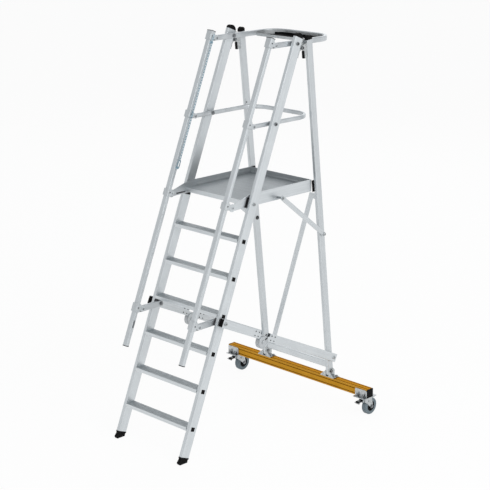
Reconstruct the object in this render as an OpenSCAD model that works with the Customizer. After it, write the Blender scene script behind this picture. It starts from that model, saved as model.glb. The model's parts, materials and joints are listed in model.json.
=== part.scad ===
// Mobile folding platform ladder.
// A treaded front section and a hinged rear frame on a castor beam carry a lift-up platform.
// Guard rails, handrails and lower arms swing with the platform, and two knee stays hold the legs.
// X runs across the ladder, Y from the climber to the rear, Z up. Lengths are millimetres.

/* [Ladder section] */
// Height from one tread to the next
step_rise = 240; // [230:1:255]
// Angle of the front stiles to the floor, in degrees
ladder_angle = 68; // [66:0.5:70]
// Clear width between the stiles
clear_width = 610; // [520:1:760]
// Depth of a front stile, square to its axis
stile_depth = 73; // [66:1:80]
// Thickness of every stile, across the ladder
stile_thick = 25; // [22:1:32]
// Wall of the stile tubes
stile_wall = 2.5; // [1.8:0.1:4]
// Reach of a front stile past the hinge pin, along its axis
stile_above_hinge = 55; // [50:1:70]
// Depth of a tread from front to back
tread_depth = 75; // [65:1:85]
// Height of a tread
tread_h = 24; // [20:1:28]
// How far a tread stands in front of the stile centre line
tread_nose = 46; // [42:1:52]

/* [Pivots] */
// Height of the top hinge between the front section and the rear frame
hinge_h = 2657; // [2600:1:2700]
// Gap from the front stile to the hinge pin
hinge_front_gap = 23; // [21:1:32]
// Gap from the hinge pin to the rear stile
hinge_rear_gap = 47; // [40:1:60]
// Lean of the rear frame from upright, in degrees
rear_lean = 6.4; // [4:0.2:8]
// Drop from the platform floor to its pivot
platform_drop = 20; // [16:1:26]
// Rise from the platform pivot to the knee rail pivot
knee_rise = 514; // [470:1:540]
// Rise from the platform pivot to the top rail pivot
hoop_rise = 1030; // [1000:1:1060]
// Height of the lower arm and stay pivot
lower_h = 903; // [890:1:904]
// Length of every rail link, from stile pivot to handrail pivot
link_len = 170; // [160:1:185]
// Diameter of the pivot bolts
bolt_d = 12; // [10:0.5:14]

/* [Handrails] */
// Handrail tube across the ladder
rail_w = 38; // [32:1:42]
// Handrail tube from front to back
rail_d = 28; // [24:1:34]
// Gap from the handrail centre line back to its pivots
rail_setback = 54; // [48:1:64]
// Lower end of a handrail, along the stile direction
rail_start = 640; // [600:1:700]
// Length of a handrail
rail_len = 2228; // [2200:1:2300]
// Inset of the handrail centre line from the stile inner face
rail_inset = 25; // [24:1:30]

/* [Guard rails] */
// Height of the top rail tube
hoop_h = 38; // [30:1:44]
// Width of the top rail tube
hoop_w = 22; // [18:1:25]
// Height of the knee rail tube
knee_h = 30; // [24:1:36]
// Reach of the guard rails behind their pivots
hoop_reach = 432; // [400:1:470]
// Bend radius of the guard rails at the tube centre line
hoop_bend = 140; // [100:1:180]
// Distance from the top rail pivot to the front of the tool tray
tray_setback = 225; // [190:1:240]
// Height of the tool tray
tray_h = 34; // [26:1:40]

/* [Platform] */
// Reach of the platform behind its pivot
platform_reach = 608; // [570:1:620]
// Height of the side plates
plate_h = 84; // [78:1:95]
// Rise of the side plates above the floor
kerb_h = 45; // [38:1:50]
// Height of the floor panel
deck_h = 30; // [24:1:36]
// Reach of the floor panel in front of the pivot
deck_nose = 34; // [28:1:40]
// Distance from the platform pivot to the brace pin
brace_pin_reach = 262; // [240:1:280]
// Height of the brace bolt on the rear frame
brace_foot_h = 1325; // [1290:1:1350]

/* [Rear frame] */
// Depth of a rear stile
rear_depth = 53; // [46:1:60]
// Rear stile above the hinge pin, along its axis
rear_top = 42; // [40:1:56]
// Height of the rear cross member
cross_h = 312; // [300:1:325]
// Height of the stay bolt on the rear frame
stay_foot_h = 378; // [372:1:390]
// Share of the stay length from the front bolt to the knee joint
knee_share = 0.342; // [0.33:0.002:0.352]
// Height of the stay tube
stay_h = 60; // [50:1:66]
// Drop of the knee pin below the stay centre line
knee_drop = 42; // [38:1:48]
// Radius of the knee discs
knee_disc_r = 47; // [42:1:50]

/* [Castor beam] */
// Length of the castor beam
beam_len = 1392; // [1340:2:1600]
// Side of the square castor beam
beam_size = 65; // [60:1:70]
// Distance from the end of the beam to the castor's swivel
castor_inset = 51; // [46:1:90]
// Wheel diameter
wheel_d = 125; // [115:1:130]
// Wheel width
wheel_w = 37; // [32:1:40]
// Trail of the wheel behind its swivel
castor_trail = 42; // [36:1:48]
// Distance from the beam centre line back to the swivel
swivel_setback = 18; // [10:1:22]

/* [Hidden] */
tread_count = 6;
$fn = 48;
// Reach of a cut past the face that it opens
overrun = 4;
// Radial clearance of a bolt in a hole of its own body
seat_fit = 0.1;
// Radial clearance of a turning joint
run_fit = 0.05;
// Side clearance between bodies that turn past each other
side_gap = 0.6;

// Stiles
stile_corner = 4;
stile_x = clear_width / 2 + stile_thick / 2;
stile_out = clear_width / 2 + stile_thick;
foot_spread = 4;
foot_collar = 44;
foot_rim = 9;
foot_neck = 30;
foot_notch = 6;
foot_chamfer = 14;
foot_heel = 8;
foot_tang = 40;
foot_half = stile_depth / 2 + foot_spread;
stile_base = foot_collar;
cap_h = 30;
cap_edge = 9;
plug_w = 29;
plug_h = 28;
plug_t = 2;
plug_drop = 19;

// Treads
tread_wall = 2.5;
tread_skin = 5;
groove_depth = 2;
tread_grooves = 8;
tread_lip = 7;

// Pivot heights
platform_h = (tread_count + 1) * step_rise;
platform_pivot_h = platform_h - platform_drop;
knee_pivot_h = platform_pivot_h + knee_rise;
hoop_pivot_h = platform_pivot_h + hoop_rise;
function on_stile(z) = z / tan(ladder_angle);
function stile_s(z) = z / sin(ladder_angle);
link_back = link_len * sin(ladder_angle);
link_down = link_len * cos(ladder_angle);
rail_x = clear_width / 2 - rail_inset;
rail_row = -link_back - rail_setback;

// Hinge between the sections
hinge_y = on_stile(hinge_h) + (stile_depth / 2 + hinge_front_gap) / sin(ladder_angle);
hinge_s = hinge_y * cos(ladder_angle) + hinge_h * sin(ladder_angle);
rear_off = hinge_rear_gap + rear_depth / 2;
function rear_s(z) = (hinge_h + rear_off * sin(rear_lean) - z) / cos(rear_lean);
function rear_y(s) = hinge_y + rear_off * cos(rear_lean) + s * sin(rear_lean);
stile_top = hinge_s + stile_above_hinge;
eye_r = 16;
tongue_t = 8;
ear_t = 4;
tongue_up = 34;
tongue_down = 74;
tongue_w = 13;
tongue_neck = 30;
ear_up = 26;
ear_down = 76;
ear_w = 29;
ear_neck = 24;
lock_pin_d = 6;
lock_pin_h = 36;
lock_collar_d = 18;
lock_collar_h = 20;
buffer_t = 9;
buffer_drop = 25;
buffer_h = 50;

// Bolts
head_d = 21;
head_h = 7;
nut_d = 20;
nut_h = 8;

// Washers, pads and spacers between the stiles and what turns on them
washer_d = 34;
pad_w = 66;
pad_h = 72;
pad_ahead = 13;
arm_pad_w = 40;
arm_pad_h = 48;
plate_t = 4;
plate_gap = 9;
plate_out = clear_width / 2 - plate_gap;
plate_in = plate_out - plate_t;
spacer_t = 12;
spacer_w = 44;
spacer_h = 50;
spacer_groove = 3;
spacer_grooves = 3;

// Rails, tray and arms
rail_wall = 2;
rail_corner = 6;
rail_cap_t = 5;
tube_wall = 2;
hoop_corner = 8;
knee_w = 20;
knee_corner = 8;
arm_h = 42;
arm_w = 22;
arm_corner = 4;
arm_wall = 3;
tip_reach = 16;
tray_wall = 2.5;
tray_gap = 0.4;
tray_drop = 2;
tray_front_h = 19;
clamp_wall = 6;
lug_t = 4;
lug_gap = 0.5;
lug_r = 17;
pin_d = 10;
pin_head_d = 17;
pin_head_h = 3;
top_clamp_h = 62;
mid_clamp_h = 48;
low_clamp_h = 60;

// Platform
tip_r = 27;
tip_edge_share = 0.8;
plate_top = platform_h + kerb_h;
plate_low = plate_top - plate_h;
platform_y = on_stile(platform_pivot_h);
platform_tip_y = platform_y - link_len;
platform_rear_y = platform_y + platform_reach;
plate_shoulder = 48;
deck_wall = 3;
deck_skin = 6;
deck_grooves = 42;
deck_front_y = platform_y - deck_nose;
board_in_y = platform_rear_y - plate_t;
deck_len = board_in_y - seat_fit - deck_front_y;
brace_w = 32;
brace_t = 8;
brace_in = stile_out + spacer_t;
brace_pin_d = 14;
brace_boss_d = 24;
brace_pin_y = platform_y + brace_pin_reach;
brace_foot_s = rear_s(brace_foot_h);
brace_dy = rear_y(brace_foot_s) - brace_pin_y;
brace_dz = brace_foot_h - platform_pivot_h;
brace_len = norm([brace_dy, brace_dz]);
brace_angle = atan2(brace_dz, brace_dy);

// Rear frame
cross_t = 25;
cross_tall = 50;
diag_w = 38;
diag_t = 5;
diag_top_drop = 24;
diag_top_inset = 66;
diag_foot_inset = 36;
diag_tab_h = 42;
rear_clear = 12;
rear_pad_h = 82;
rear_pad_w = 50;
rear_pad_ahead = 12;

// Castor beam, brackets and saddles
wheel_r = wheel_d / 2;
fork_gap = 4;
fork_plate_t = 4;
head_ring_h = 12;
castor_plate_t = 4;
saddle_t = 5;
bridge_z = wheel_d + fork_gap;
head_top = bridge_z + fork_plate_t + head_ring_h;
castor_plate_z = head_top + side_gap;
saddle_z = castor_plate_z + castor_plate_t;
beam_z = saddle_z + saddle_t;
beam_top = beam_z + beam_size;
beam_wall = 4;
beam_groove_w = 6;
beam_groove_d = 5;
beam_groove_share = 0.27;
end_cap_t = 4;
bracket_t = 5;
bracket_len = 128;
bracket_ear_up = 60;
bracket_bolt_up = 42;
base_bolt_d = 10;
base_bolt_inset = 15;
rear_end_s = rear_s(beam_top + bracket_t + rear_clear);
beam_y = rear_y(rear_s(beam_top));
saddle_len = 108;
saddle_back = 56;
saddle_ledge = 27;
saddle_flange_h = 58;
saddle_flange_t = 4;
saddle_corner = 12;
saddle_bolt_in_share = 0.24;
saddle_bolt_up = 27;
saddle_nut_h = 8;
castor_plate_len = 104;
castor_plate_deep = 86;
castor_x = beam_len / 2 - castor_inset;
castor_y = beam_y + swivel_setback;
wheel_y = castor_y + castor_trail;

// Castors
head_ring_d = 76;
kingpin_d = 14;
kingpin_nut_d = 22;
kingpin_nut_h = 6;
fork_side_gap = 3;
fork_leg_x = wheel_w / 2 + fork_side_gap + fork_plate_t / 2;
fork_front = 36;
fork_back = 40;
axle_d = 12;
axle_eye_r = 15;
axle_head_d = 20;
axle_head_h = 6;
hub_share = 0.6;
hub_web_share = 0.82;
hub_r = wheel_r * hub_share;
hub_recess = 6;
hub_web_r = hub_r * hub_web_share;
hub_boss_r = 13;
tyre_round = 6;
pedal_pin_d = 6;
pedal_barrel_d = 12;
pedal_pin_y = -46;
pedal_pin_drop = 6;
pedal_pin_z = bridge_z - pedal_pin_drop;
pedal_w = 32;
pedal_len = 46;
pedal_t = 8;
pedal_ear_t = 3;
pedal_ear_r = 8;

// Stays
stay_w = 26;
stay_wall = 3;
stay_x = stile_out + spacer_t + stay_w / 2;
stay_nose = 26;
stay_tail = 28;
stay_y = on_stile(lower_h);
stay_foot_s = rear_s(stay_foot_h);
stay_dy = rear_y(stay_foot_s) - stay_y;
stay_dz = stay_foot_h - lower_h;
stay_len = norm([stay_dy, stay_dz]);
stay_angle = atan2(stay_dz, stay_dy);
knee_along = knee_share * stay_len;
knee_plate_t = 3;
knee_end_gap = 50;
knee_plate_len = 70;
knee_strap_in = 26;
knee_strap_step = 8;
knee_pin_d = 12;
knee_pin_head_d = 20;
knee_pin_head_h = 2;
rivet_d = 9;
rivet_h = 2;
stay_boss_d = 26;
stay_boss_gap = side_gap;

// Chain parked along the left handrail
link_wire = 3;
link_long = 26;
link_wide = 13;
link_play = 1;
link_pitch = link_long - 2 * link_wire - link_play;
link_count = 44;
chain_off = 15;
chain_top_s = 2780;
chain_x = rail_x - rail_w / 2 - chain_off;
eye_plate_t = 4;
eye_plate_r = 9;
hook_len = 58;
hook_wide = 22;
hook_wire = 5;

// Place of the part about its own middle
y_front = -foot_half / sin(ladder_angle) + on_stile(foot_chamfer);
y_rear = wheel_y + wheel_r;
y_mid = (y_front + y_rear) / 2;

// Places and shared shapes
module placed() translate([0, -y_mid, 0]) children();
module both_sides() {
    children();
    mirror([1, 0, 0]) children();
}
module left_side() mirror([1, 0, 0]) children();
module in_front_frame() rotate([ladder_angle - 90, 0, 0]) children();
module in_rear_frame() translate([0, hinge_y, hinge_h]) rotate([rear_lean, 0, 0]) children();
// Outline in Y and Z, given thickness along X
module side_extrude(t) rotate([90, 0, 90]) linear_extrude(t, center = true) children();
module bar_x(d, length) rotate([0, 90, 0]) cylinder(d = d, h = length, center = true);
module rounded_rect(w, d, r) {
    square([w - 2 * r, d], center = true);
    square([w, d - 2 * r], center = true);
    for (x = [-1, 1])
        for (y = [-1, 1])
            translate([x * (w / 2 - r), y * (d / 2 - r)]) circle(r);
}
module tube_outline(w, d, wall, r) {
    difference() {
        rounded_rect(w, d, r);
        rounded_rect(w - 2 * wall, d - 2 * wall, r - wall);
    }
}
module stile_bores(heights) {
    for (z = heights)
        translate([stile_x, 0, stile_s(z)]) bar_x(bolt_d + 2 * seat_fit, stile_thick + 2 * overrun);
}
module ribbed_outline(depth, h, wall, skin, lip, count) {
    pitch = (depth - 2 * lip) / count;
    difference() {
        square([depth, h]);
        translate([wall, wall]) square([depth - 2 * wall, h - wall - skin]);
        for (i = [0:count - 1])
            translate([lip + (i + 1 / 4) * pitch, h - groove_depth])
                square([pitch / 2, groove_depth + overrun]);
    }
}

// Front section
module front_stile_right() color("silver") placed() in_front_frame() difference() {
    translate([stile_x, 0, stile_base]) linear_extrude(stile_top - stile_base)
        tube_outline(stile_thick, stile_depth, stile_wall, stile_corner);
    stile_bores([lower_h, platform_pivot_h, knee_pivot_h, hoop_pivot_h]);
}
module front_stile_left() left_side() front_stile_right();
module tread(number) {
    z = number * step_rise;
    color("darkgray") placed() translate([0, on_stile(z) - tread_nose, z - tread_h])
        side_extrude(clear_width)
            ribbed_outline(tread_depth, tread_h, tread_wall, tread_skin, tread_lip, tread_grooves);
}
module tread_plugs() color("black") placed() both_sides() in_front_frame()
    for (i = [1:tread_count])
        translate([stile_out + plug_t / 2, 0, stile_s(i * step_rise - plug_drop)])
            cube([plug_t, plug_w, plug_h], center = true);
// Point beside the stile: off its axis, and along it from the floor
function beside_stile(off, along) = [
    off * sin(ladder_angle) + along * cos(ladder_angle),
    along * sin(ladder_angle) - off * cos(ladder_angle)
];
module foot_outline() {
    low = foot_half / sin(ladder_angle);
    rim = stile_depth / 2;
    neck = rim - foot_notch;
    polygon([
        [-low + foot_chamfer, 0],
        [low - foot_heel, 0],
        beside_stile(neck, foot_neck),
        beside_stile(rim, foot_collar - foot_rim),
        beside_stile(rim, foot_collar),
        beside_stile(-rim, foot_collar),
        beside_stile(-rim, foot_collar - foot_rim),
        beside_stile(-neck, foot_neck),
        [y_front, foot_chamfer]
    ]);
}
module front_feet() color("black") placed() both_sides() {
    inset = 2 * (stile_wall + seat_fit);
    translate([stile_x, 0, 0]) side_extrude(stile_thick) foot_outline();
    in_front_frame() translate([stile_x, 0, foot_collar - foot_rim]) linear_extrude(foot_rim + foot_tang)
        rounded_rect(stile_thick - inset, stile_depth - inset, stile_corner - stile_wall);
}
module dome_cap(depth) {
    sag = cap_h - cap_edge;
    dome_r = (depth * depth / 4 + sag * sag) / (2 * sag);
    intersection() {
        linear_extrude(cap_h) rounded_rect(stile_thick, depth, stile_corner);
        translate([0, 0, cap_h - dome_r]) bar_x(2 * dome_r, stile_thick + overrun);
    }
}
module front_caps() color("black") placed() both_sides() in_front_frame()
    translate([stile_x, 0, stile_top]) dome_cap(stile_depth);
module front_hinge_plates() color("silver") placed() both_sides() in_front_frame()
    translate([stile_x, 0, hinge_s]) side_extrude(tongue_t) difference() {
        union() {
            polygon([
                [stile_depth / 2, -tongue_down],
                [stile_depth / 2 + tongue_w, -tongue_down],
                [stile_depth / 2 + tongue_w, -tongue_neck],
                [stile_depth / 2 + hinge_front_gap, -eye_r],
                [stile_depth / 2 + hinge_front_gap, tongue_up],
                [stile_depth / 2, tongue_up]
            ]);
            translate([stile_depth / 2 + hinge_front_gap, 0]) circle(eye_r);
        }
        translate([stile_depth / 2 + hinge_front_gap, 0]) circle(bolt_d / 2 + run_fit);
    }
module headed_pin(d, x_in, x_out) {
    translate([(x_in + x_out) / 2, 0, 0]) bar_x(d, x_out - x_in);
    translate([x_out + head_h / 2, 0, 0]) bar_x(head_d, head_h);
}
module headed_bolt(d, x_in, x_out) {
    headed_pin(d, x_in, x_out);
    translate([x_in - nut_h / 2, 0, 0]) bar_x(nut_d, nut_h);
}
module pivot_bolts() color("gainsboro") placed() both_sides() {
    in_front_frame() {
        translate([0, 0, stile_s(hoop_pivot_h)])
            headed_bolt(bolt_d, rail_x - hoop_w / 2 - side_gap, stile_out);
        translate([0, 0, stile_s(knee_pivot_h)])
            headed_bolt(bolt_d, rail_x - knee_w / 2 - side_gap, stile_out);
        translate([0, 0, stile_s(platform_pivot_h)]) headed_pin(bolt_d, plate_in, stile_out);
        translate([0, 0, stile_s(lower_h)])
            headed_bolt(bolt_d, rail_x - arm_w / 2 - side_gap, stay_x + stay_w / 2 + side_gap);
    }
    translate([0, hinge_y, hinge_h])
        headed_bolt(bolt_d, stile_x - tongue_t / 2 - ear_t - 2 * side_gap,
                    stile_x + tongue_t / 2 + ear_t + 2 * side_gap);
}
module stay_spacers() color("black") placed() both_sides() in_front_frame()
    translate([stile_out, 0, stile_s(lower_h)]) difference() {
        t = spacer_t - side_gap;
        translate([t / 2, 0, 0]) cube([t, spacer_w, spacer_h], center = true);
        bar_x(bolt_d + 2 * seat_fit, 2 * spacer_t);
        for (i = [1:spacer_grooves])
            translate([t, spacer_w * (i / (spacer_grooves + 1) - 1 / 2), 0])
                cube([spacer_groove, spacer_groove, spacer_h + overrun], center = true);
    }
module bored_ring(d, t, bore) {
    difference() {
        bar_x(d, t);
        bar_x(bore, t + overrun);
    }
}
module bored_pad(w, h, t, bore, ahead = 0) {
    difference() {
        translate([0, -ahead, 0]) cube([t, w, h], center = true);
        bar_x(bore, t + overrun);
    }
}
module pivot_washers() color("black") placed() both_sides() in_front_frame() {
    bore = bolt_d + 2 * seat_fit;
    hoop_t = rail_inset - hoop_w / 2 - side_gap;
    knee_t = rail_inset - knee_w / 2 - side_gap;
    arm_t = rail_inset - arm_w / 2 - side_gap;
    pad_t = plate_gap - side_gap;
    translate([clear_width / 2 - hoop_t / 2, 0, stile_s(hoop_pivot_h)]) bored_ring(washer_d, hoop_t, bore);
    translate([clear_width / 2 - knee_t / 2, 0, stile_s(knee_pivot_h)]) bored_ring(washer_d, knee_t, bore);
    translate([clear_width / 2 - arm_t / 2, 0, stile_s(lower_h)])
        bored_pad(arm_pad_w, arm_pad_h, arm_t, bore);
    translate([clear_width / 2 - pad_t / 2, 0, stile_s(platform_pivot_h)])
        bored_pad(pad_w, pad_h, pad_t, bore, pad_ahead);
}
module hinge_lock_pins() color("dimgray") placed() both_sides() in_front_frame()
    translate([stile_x, stile_depth / 2 + hinge_front_gap / 2, hinge_s + tongue_up]) {
        cylinder(d = lock_collar_d, h = lock_collar_h);
        cylinder(d = lock_pin_d, h = lock_pin_h);
    }

// Rear frame
module rear_stile_right() color("silver") placed() in_rear_frame() difference() {
    translate([stile_x, rear_off, -rear_end_s]) linear_extrude(rear_end_s + rear_top)
        tube_outline(stile_thick, rear_depth, stile_wall, stile_corner);
    translate([stile_x, rear_off, -rear_s(beam_top + bracket_bolt_up)])
        bar_x(bolt_d + 2 * seat_fit, stile_thick + overrun);
}
module rear_stile_left() left_side() rear_stile_right();
module rear_caps() color("black") placed() both_sides() in_rear_frame()
    translate([stile_x, rear_off, rear_top]) dome_cap(rear_depth);
module rear_cross_member() color("silver") placed() in_rear_frame()
    translate([0, rear_off, -rear_s(cross_h)]) rotate([0, 90, 0])
        linear_extrude(clear_width, center = true)
            tube_outline(cross_tall, cross_t, stile_wall, stile_corner);
module rear_diagonal_brace() {
    z_top = -rear_s(plate_low - diag_top_drop);
    z_foot = -rear_s(cross_h) + cross_tall / 2;
    x_top = clear_width / 2 - diag_top_inset;
    x_foot = -clear_width / 2 + diag_foot_inset;
    slant = norm([x_top - x_foot, z_top - z_foot]);
    across = diag_w * slant / (z_top - z_foot);
    color("silver") placed() in_rear_frame() translate([0, rear_off + diag_t / 2, 0])
        rotate([90, 0, 0]) linear_extrude(diag_t) {
            polygon([[x_foot, z_foot], [x_foot + across, z_foot], [x_top + across, z_top], [x_top, z_top]]);
            translate([x_top, z_top - diag_tab_h]) square([diag_top_inset, diag_tab_h]);
        }
}
module rear_hinge_plates() color("silver") placed() both_sides() in_rear_frame()
    for (side = [-1, 1])
        translate([stile_x + side * (tongue_t / 2 + side_gap + ear_t / 2), 0, 0])
        side_extrude(ear_t) difference() {
            union() {
                polygon([
                    [0, -eye_r], [hinge_rear_gap - ear_w, -ear_neck], [hinge_rear_gap - ear_w, -ear_down],
                    [hinge_rear_gap, -ear_down], [hinge_rear_gap, ear_up], [0, eye_r]
                ]);
                circle(eye_r);
            }
            circle(bolt_d / 2 + run_fit);
        }
module rear_buffers() color("black") placed() both_sides() in_rear_frame() {
    buffer_w = tongue_t + 2 * (side_gap + ear_t);
    translate([stile_x - buffer_w / 2, hinge_rear_gap - ear_w - buffer_t, -buffer_drop - buffer_h])
        cube([buffer_w, buffer_t, buffer_h]);
    pad_t = plate_gap - side_gap;
    translate([clear_width / 2 - pad_t / 2, rear_off - rear_pad_ahead, -rear_s(platform_h)])
        cube([pad_t, rear_pad_w, rear_pad_h], center = true);
}
module bracket_ear_outline() {
    half = beam_size / 2;
    polygon([[-half, 0], [half, 0], [half, bracket_bolt_up], [half / 2, bracket_ear_up],
             [-half / 2, bracket_ear_up], [-half, bracket_bolt_up]]);
}
module beam_brackets() color("lightsteelblue") placed() both_sides() translate([stile_x, beam_y, beam_top]) {
    bolt_y = rear_y(rear_s(beam_top + bracket_bolt_up)) - beam_y;
    ear_x = stile_thick / 2 + seat_fit + bracket_t / 2;
    difference() {
        union() {
            translate([0, 0, bracket_t / 2]) cube([bracket_len, beam_size, bracket_t], center = true);
            for (side = [-1, 1])
                translate([side * ear_x, 0, 0]) side_extrude(bracket_t) bracket_ear_outline();
            for (side = [-1, 1])
                translate([side * ear_x, bracket_t - beam_size / 2, bracket_t]) rotate([90, 0, 0])
                    linear_extrude(bracket_t)
                        polygon([[0, 0], [side * (bracket_len / 2 - ear_x), 0], [0, bracket_bolt_up]]);
        }
        translate([0, bolt_y, bracket_bolt_up]) bar_x(bolt_d + 2 * seat_fit, bracket_len);
        for (side = [-1, 1])
            for (row = [-1, 1])
                translate([side * (bracket_len / 2 - base_bolt_inset),
                           row * (beam_size / 2 - base_bolt_inset), 0])
                    cylinder(d = base_bolt_d + 2 * seat_fit, h = 4 * bracket_t, center = true);
    }
}
module upright_bolt(d, under, head_t) {
    translate([0, 0, -under]) cylinder(d = d, h = under);
    cylinder(d = 2 * d, h = head_t, $fn = 6);
}
module beam_bolts() color("gainsboro") placed() both_sides() {
    ear_out = stile_thick / 2 + seat_fit + bracket_t;
    translate([stile_x, rear_y(rear_s(beam_top + bracket_bolt_up)), beam_top + bracket_bolt_up])
        headed_bolt(bolt_d, -ear_out, ear_out);
    for (side = [-1, 1])
        for (row = [-1, 1])
            translate([stile_x + side * (bracket_len / 2 - base_bolt_inset),
                       beam_y + row * (beam_size / 2 - base_bolt_inset), beam_top + bracket_t])
                upright_bolt(base_bolt_d, bracket_t, head_h);
    for (side = [-1, 1])
        translate([castor_x + side * saddle_bolt_in_share * saddle_len,
                   beam_y - beam_size / 2 - (saddle_ledge + saddle_flange_t) / 2, beam_z]) {
            cylinder(d = 2 * base_bolt_d, h = saddle_nut_h, $fn = 6);
            cylinder(d = base_bolt_d, h = saddle_bolt_up);
        }
}
module beam_outline() {
    place = beam_groove_share * beam_size;
    difference() {
        rounded_rect(beam_size, beam_size, stile_corner);
        square(beam_size - 2 * (beam_wall + beam_groove_d), center = true);
        for (turn = [0:3])
            for (row = [-1, 1])
                rotate(90 * turn) translate([row * place - beam_groove_w / 2, beam_size / 2 - beam_groove_d])
                    square([beam_groove_w, beam_groove_d + overrun]);
    }
}
module castor_beam() color("goldenrod") placed() translate([0, beam_y, beam_z + beam_size / 2])
    rotate([90, 0, 90]) linear_extrude(beam_len, center = true) beam_outline();
module beam_end_caps() color("black") placed() both_sides()
    translate([beam_len / 2 + end_cap_t / 2, beam_y, beam_z + beam_size / 2])
        side_extrude(end_cap_t) rounded_rect(beam_size, beam_size, stile_corner);
module castor_saddles() color("lightsteelblue") placed() both_sides() {
    ledge_y = beam_y - beam_size / 2 - saddle_ledge;
    translate([castor_x - saddle_len / 2, ledge_y, saddle_z])
        cube([saddle_len, castor_y + saddle_back - ledge_y, saddle_t]);
    translate([castor_x, beam_y - beam_size / 2, beam_z]) rotate([90, 0, 0]) linear_extrude(saddle_flange_t) {
        translate([-saddle_len / 2, 0]) square([saddle_len, saddle_flange_h - saddle_corner]);
        translate([-saddle_len / 2 + saddle_corner, 0])
            square([saddle_len - 2 * saddle_corner, saddle_flange_h]);
        for (side = [-1, 1])
            translate([side * (saddle_len / 2 - saddle_corner), saddle_flange_h - saddle_corner])
                circle(saddle_corner);
    }
    translate([castor_x, castor_y, castor_plate_z + castor_plate_t / 2])
        cube([castor_plate_len, castor_plate_deep, castor_plate_t], center = true);
    translate([castor_x, castor_y, bridge_z - side_gap])
        cylinder(d = kingpin_d, h = castor_plate_z - bridge_z + side_gap);
    translate([castor_x, castor_y, bridge_z - side_gap - kingpin_nut_h])
        cylinder(d = kingpin_nut_d, h = kingpin_nut_h, $fn = 6);
}

// Platform
module platform_deck() color("gray") placed()
    translate([0, deck_front_y, platform_h - deck_h]) side_extrude(2 * plate_in)
        ribbed_outline(deck_len, deck_h, deck_wall, deck_skin, tread_lip, deck_grooves);
module plate_outline() {
    difference() {
        union() {
            polygon([
                [platform_tip_y + tip_r / 2, platform_pivot_h - tip_edge_share * tip_r],
                [platform_y - plate_shoulder, plate_low],
                [platform_rear_y, plate_low],
                [platform_rear_y, plate_top],
                [platform_y, plate_top],
                [platform_y - plate_shoulder, plate_top - kerb_h / 4],
                [platform_tip_y + tip_r / 2, platform_pivot_h + tip_edge_share * tip_r]
            ]);
            translate([platform_tip_y, platform_pivot_h]) circle(tip_r);
        }
        translate([platform_y, platform_pivot_h]) circle(bolt_d / 2 + run_fit);
        translate([platform_tip_y, platform_pivot_h]) circle(pin_d / 2 + run_fit);
    }
}
module platform_plate_right() color("silver") placed()
    translate([plate_in + plate_t / 2, 0, 0]) side_extrude(plate_t) plate_outline();
module platform_plate_left() left_side() platform_plate_right();
module platform_rear_board() color("silver") placed()
    translate([-plate_in, board_in_y, plate_low]) cube([2 * plate_in, plate_t, plate_h]);
module brace_pins() color("gainsboro") placed() both_sides()
    translate([0, brace_pin_y, platform_pivot_h]) {
        out = brace_in + brace_t + side_gap;
        translate([(plate_out + out) / 2, 0, 0]) bar_x(brace_pin_d, out - plate_out);
        translate([out + pin_head_h / 2, 0, 0]) bar_x(head_d, pin_head_h);
    }

// Handrails
module handrail_right() color("silver") placed() in_front_frame()
    translate([rail_x, rail_row, rail_start]) linear_extrude(rail_len)
        tube_outline(rail_w, rail_d, rail_wall, rail_corner);
module handrail_left() left_side() handrail_right();
module rail_caps() color("dimgray") placed() in_front_frame()
    for (s = [rail_start - rail_cap_t, rail_start + rail_len])
        translate([rail_x, rail_row, s]) linear_extrude(rail_cap_t) rounded_rect(rail_w, rail_d, rail_corner);
module right_rail_caps() rail_caps();
module left_rail_caps() left_side() rail_caps();
module rail_clamp(z, h, link_x, link_w) {
    sleeve_back = rail_row + rail_d / 2 + clamp_wall;
    lug_x = link_w / 2 + lug_gap + lug_t / 2;
    pin_half = link_w / 2 + lug_gap + lug_t;
    translate([0, 0, stile_s(z) - link_down]) {
        difference() {
            translate([rail_x, rail_row, -h / 2]) linear_extrude(h)
                rounded_rect(rail_w + 2 * clamp_wall, rail_d + 2 * clamp_wall, rail_corner);
            translate([rail_x, rail_row, -h]) linear_extrude(2 * h)
                rounded_rect(rail_w + 2 * seat_fit, rail_d + 2 * seat_fit, rail_corner);
        }
        for (side = [-1, 1])
            translate([link_x + side * lug_x, 0, 0]) side_extrude(lug_t) difference() {
                union() {
                    translate([sleeve_back, -lug_r]) square([-link_back - sleeve_back, 2 * lug_r]);
                    translate([-link_back, 0]) circle(lug_r);
                }
                translate([-link_back, 0]) circle(pin_d / 2 + seat_fit);
            }
        translate([link_x, -link_back, 0]) {
            bar_x(pin_d, 2 * pin_half);
            for (side = [-1, 1])
                translate([side * (pin_half + pin_head_h / 2), 0, 0]) bar_x(pin_head_d, pin_head_h);
        }
    }
}
module rail_clamps() color("silver") placed() in_front_frame() {
    rail_clamp(hoop_pivot_h, top_clamp_h, rail_x, hoop_w);
    rail_clamp(knee_pivot_h, mid_clamp_h, rail_x, knee_w);
    rail_clamp(platform_pivot_h, mid_clamp_h, plate_in + plate_t / 2, plate_t);
    rail_clamp(lower_h, low_clamp_h, rail_x, arm_w);
}
module right_rail_clamps() rail_clamps();
module left_rail_clamps() left_side() rail_clamps();
module link_ring(long, wide, wire) {
    linear_extrude(wire, center = true) difference() {
        union() {
            square([long - wide, wide], center = true);
            for (side = [-1, 1]) translate([side * (long - wide) / 2, 0]) circle(d = wide);
        }
        square([long - wide, wide - 2 * wire], center = true);
        for (side = [-1, 1]) translate([side * (long - wide) / 2, 0]) circle(d = wide - 2 * wire);
    }
}
module on_chain(s) translate([-chain_x, rail_row, s]) rotate([0, 90, 0]) children();
module safety_chain() color("lightsteelblue") placed() in_front_frame()
    for (i = [0:link_count - 1])
        on_chain(chain_top_s - i * link_pitch) rotate([90 * (i % 2), 0, 0])
            link_ring(link_long, link_wide, link_wire);
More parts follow.
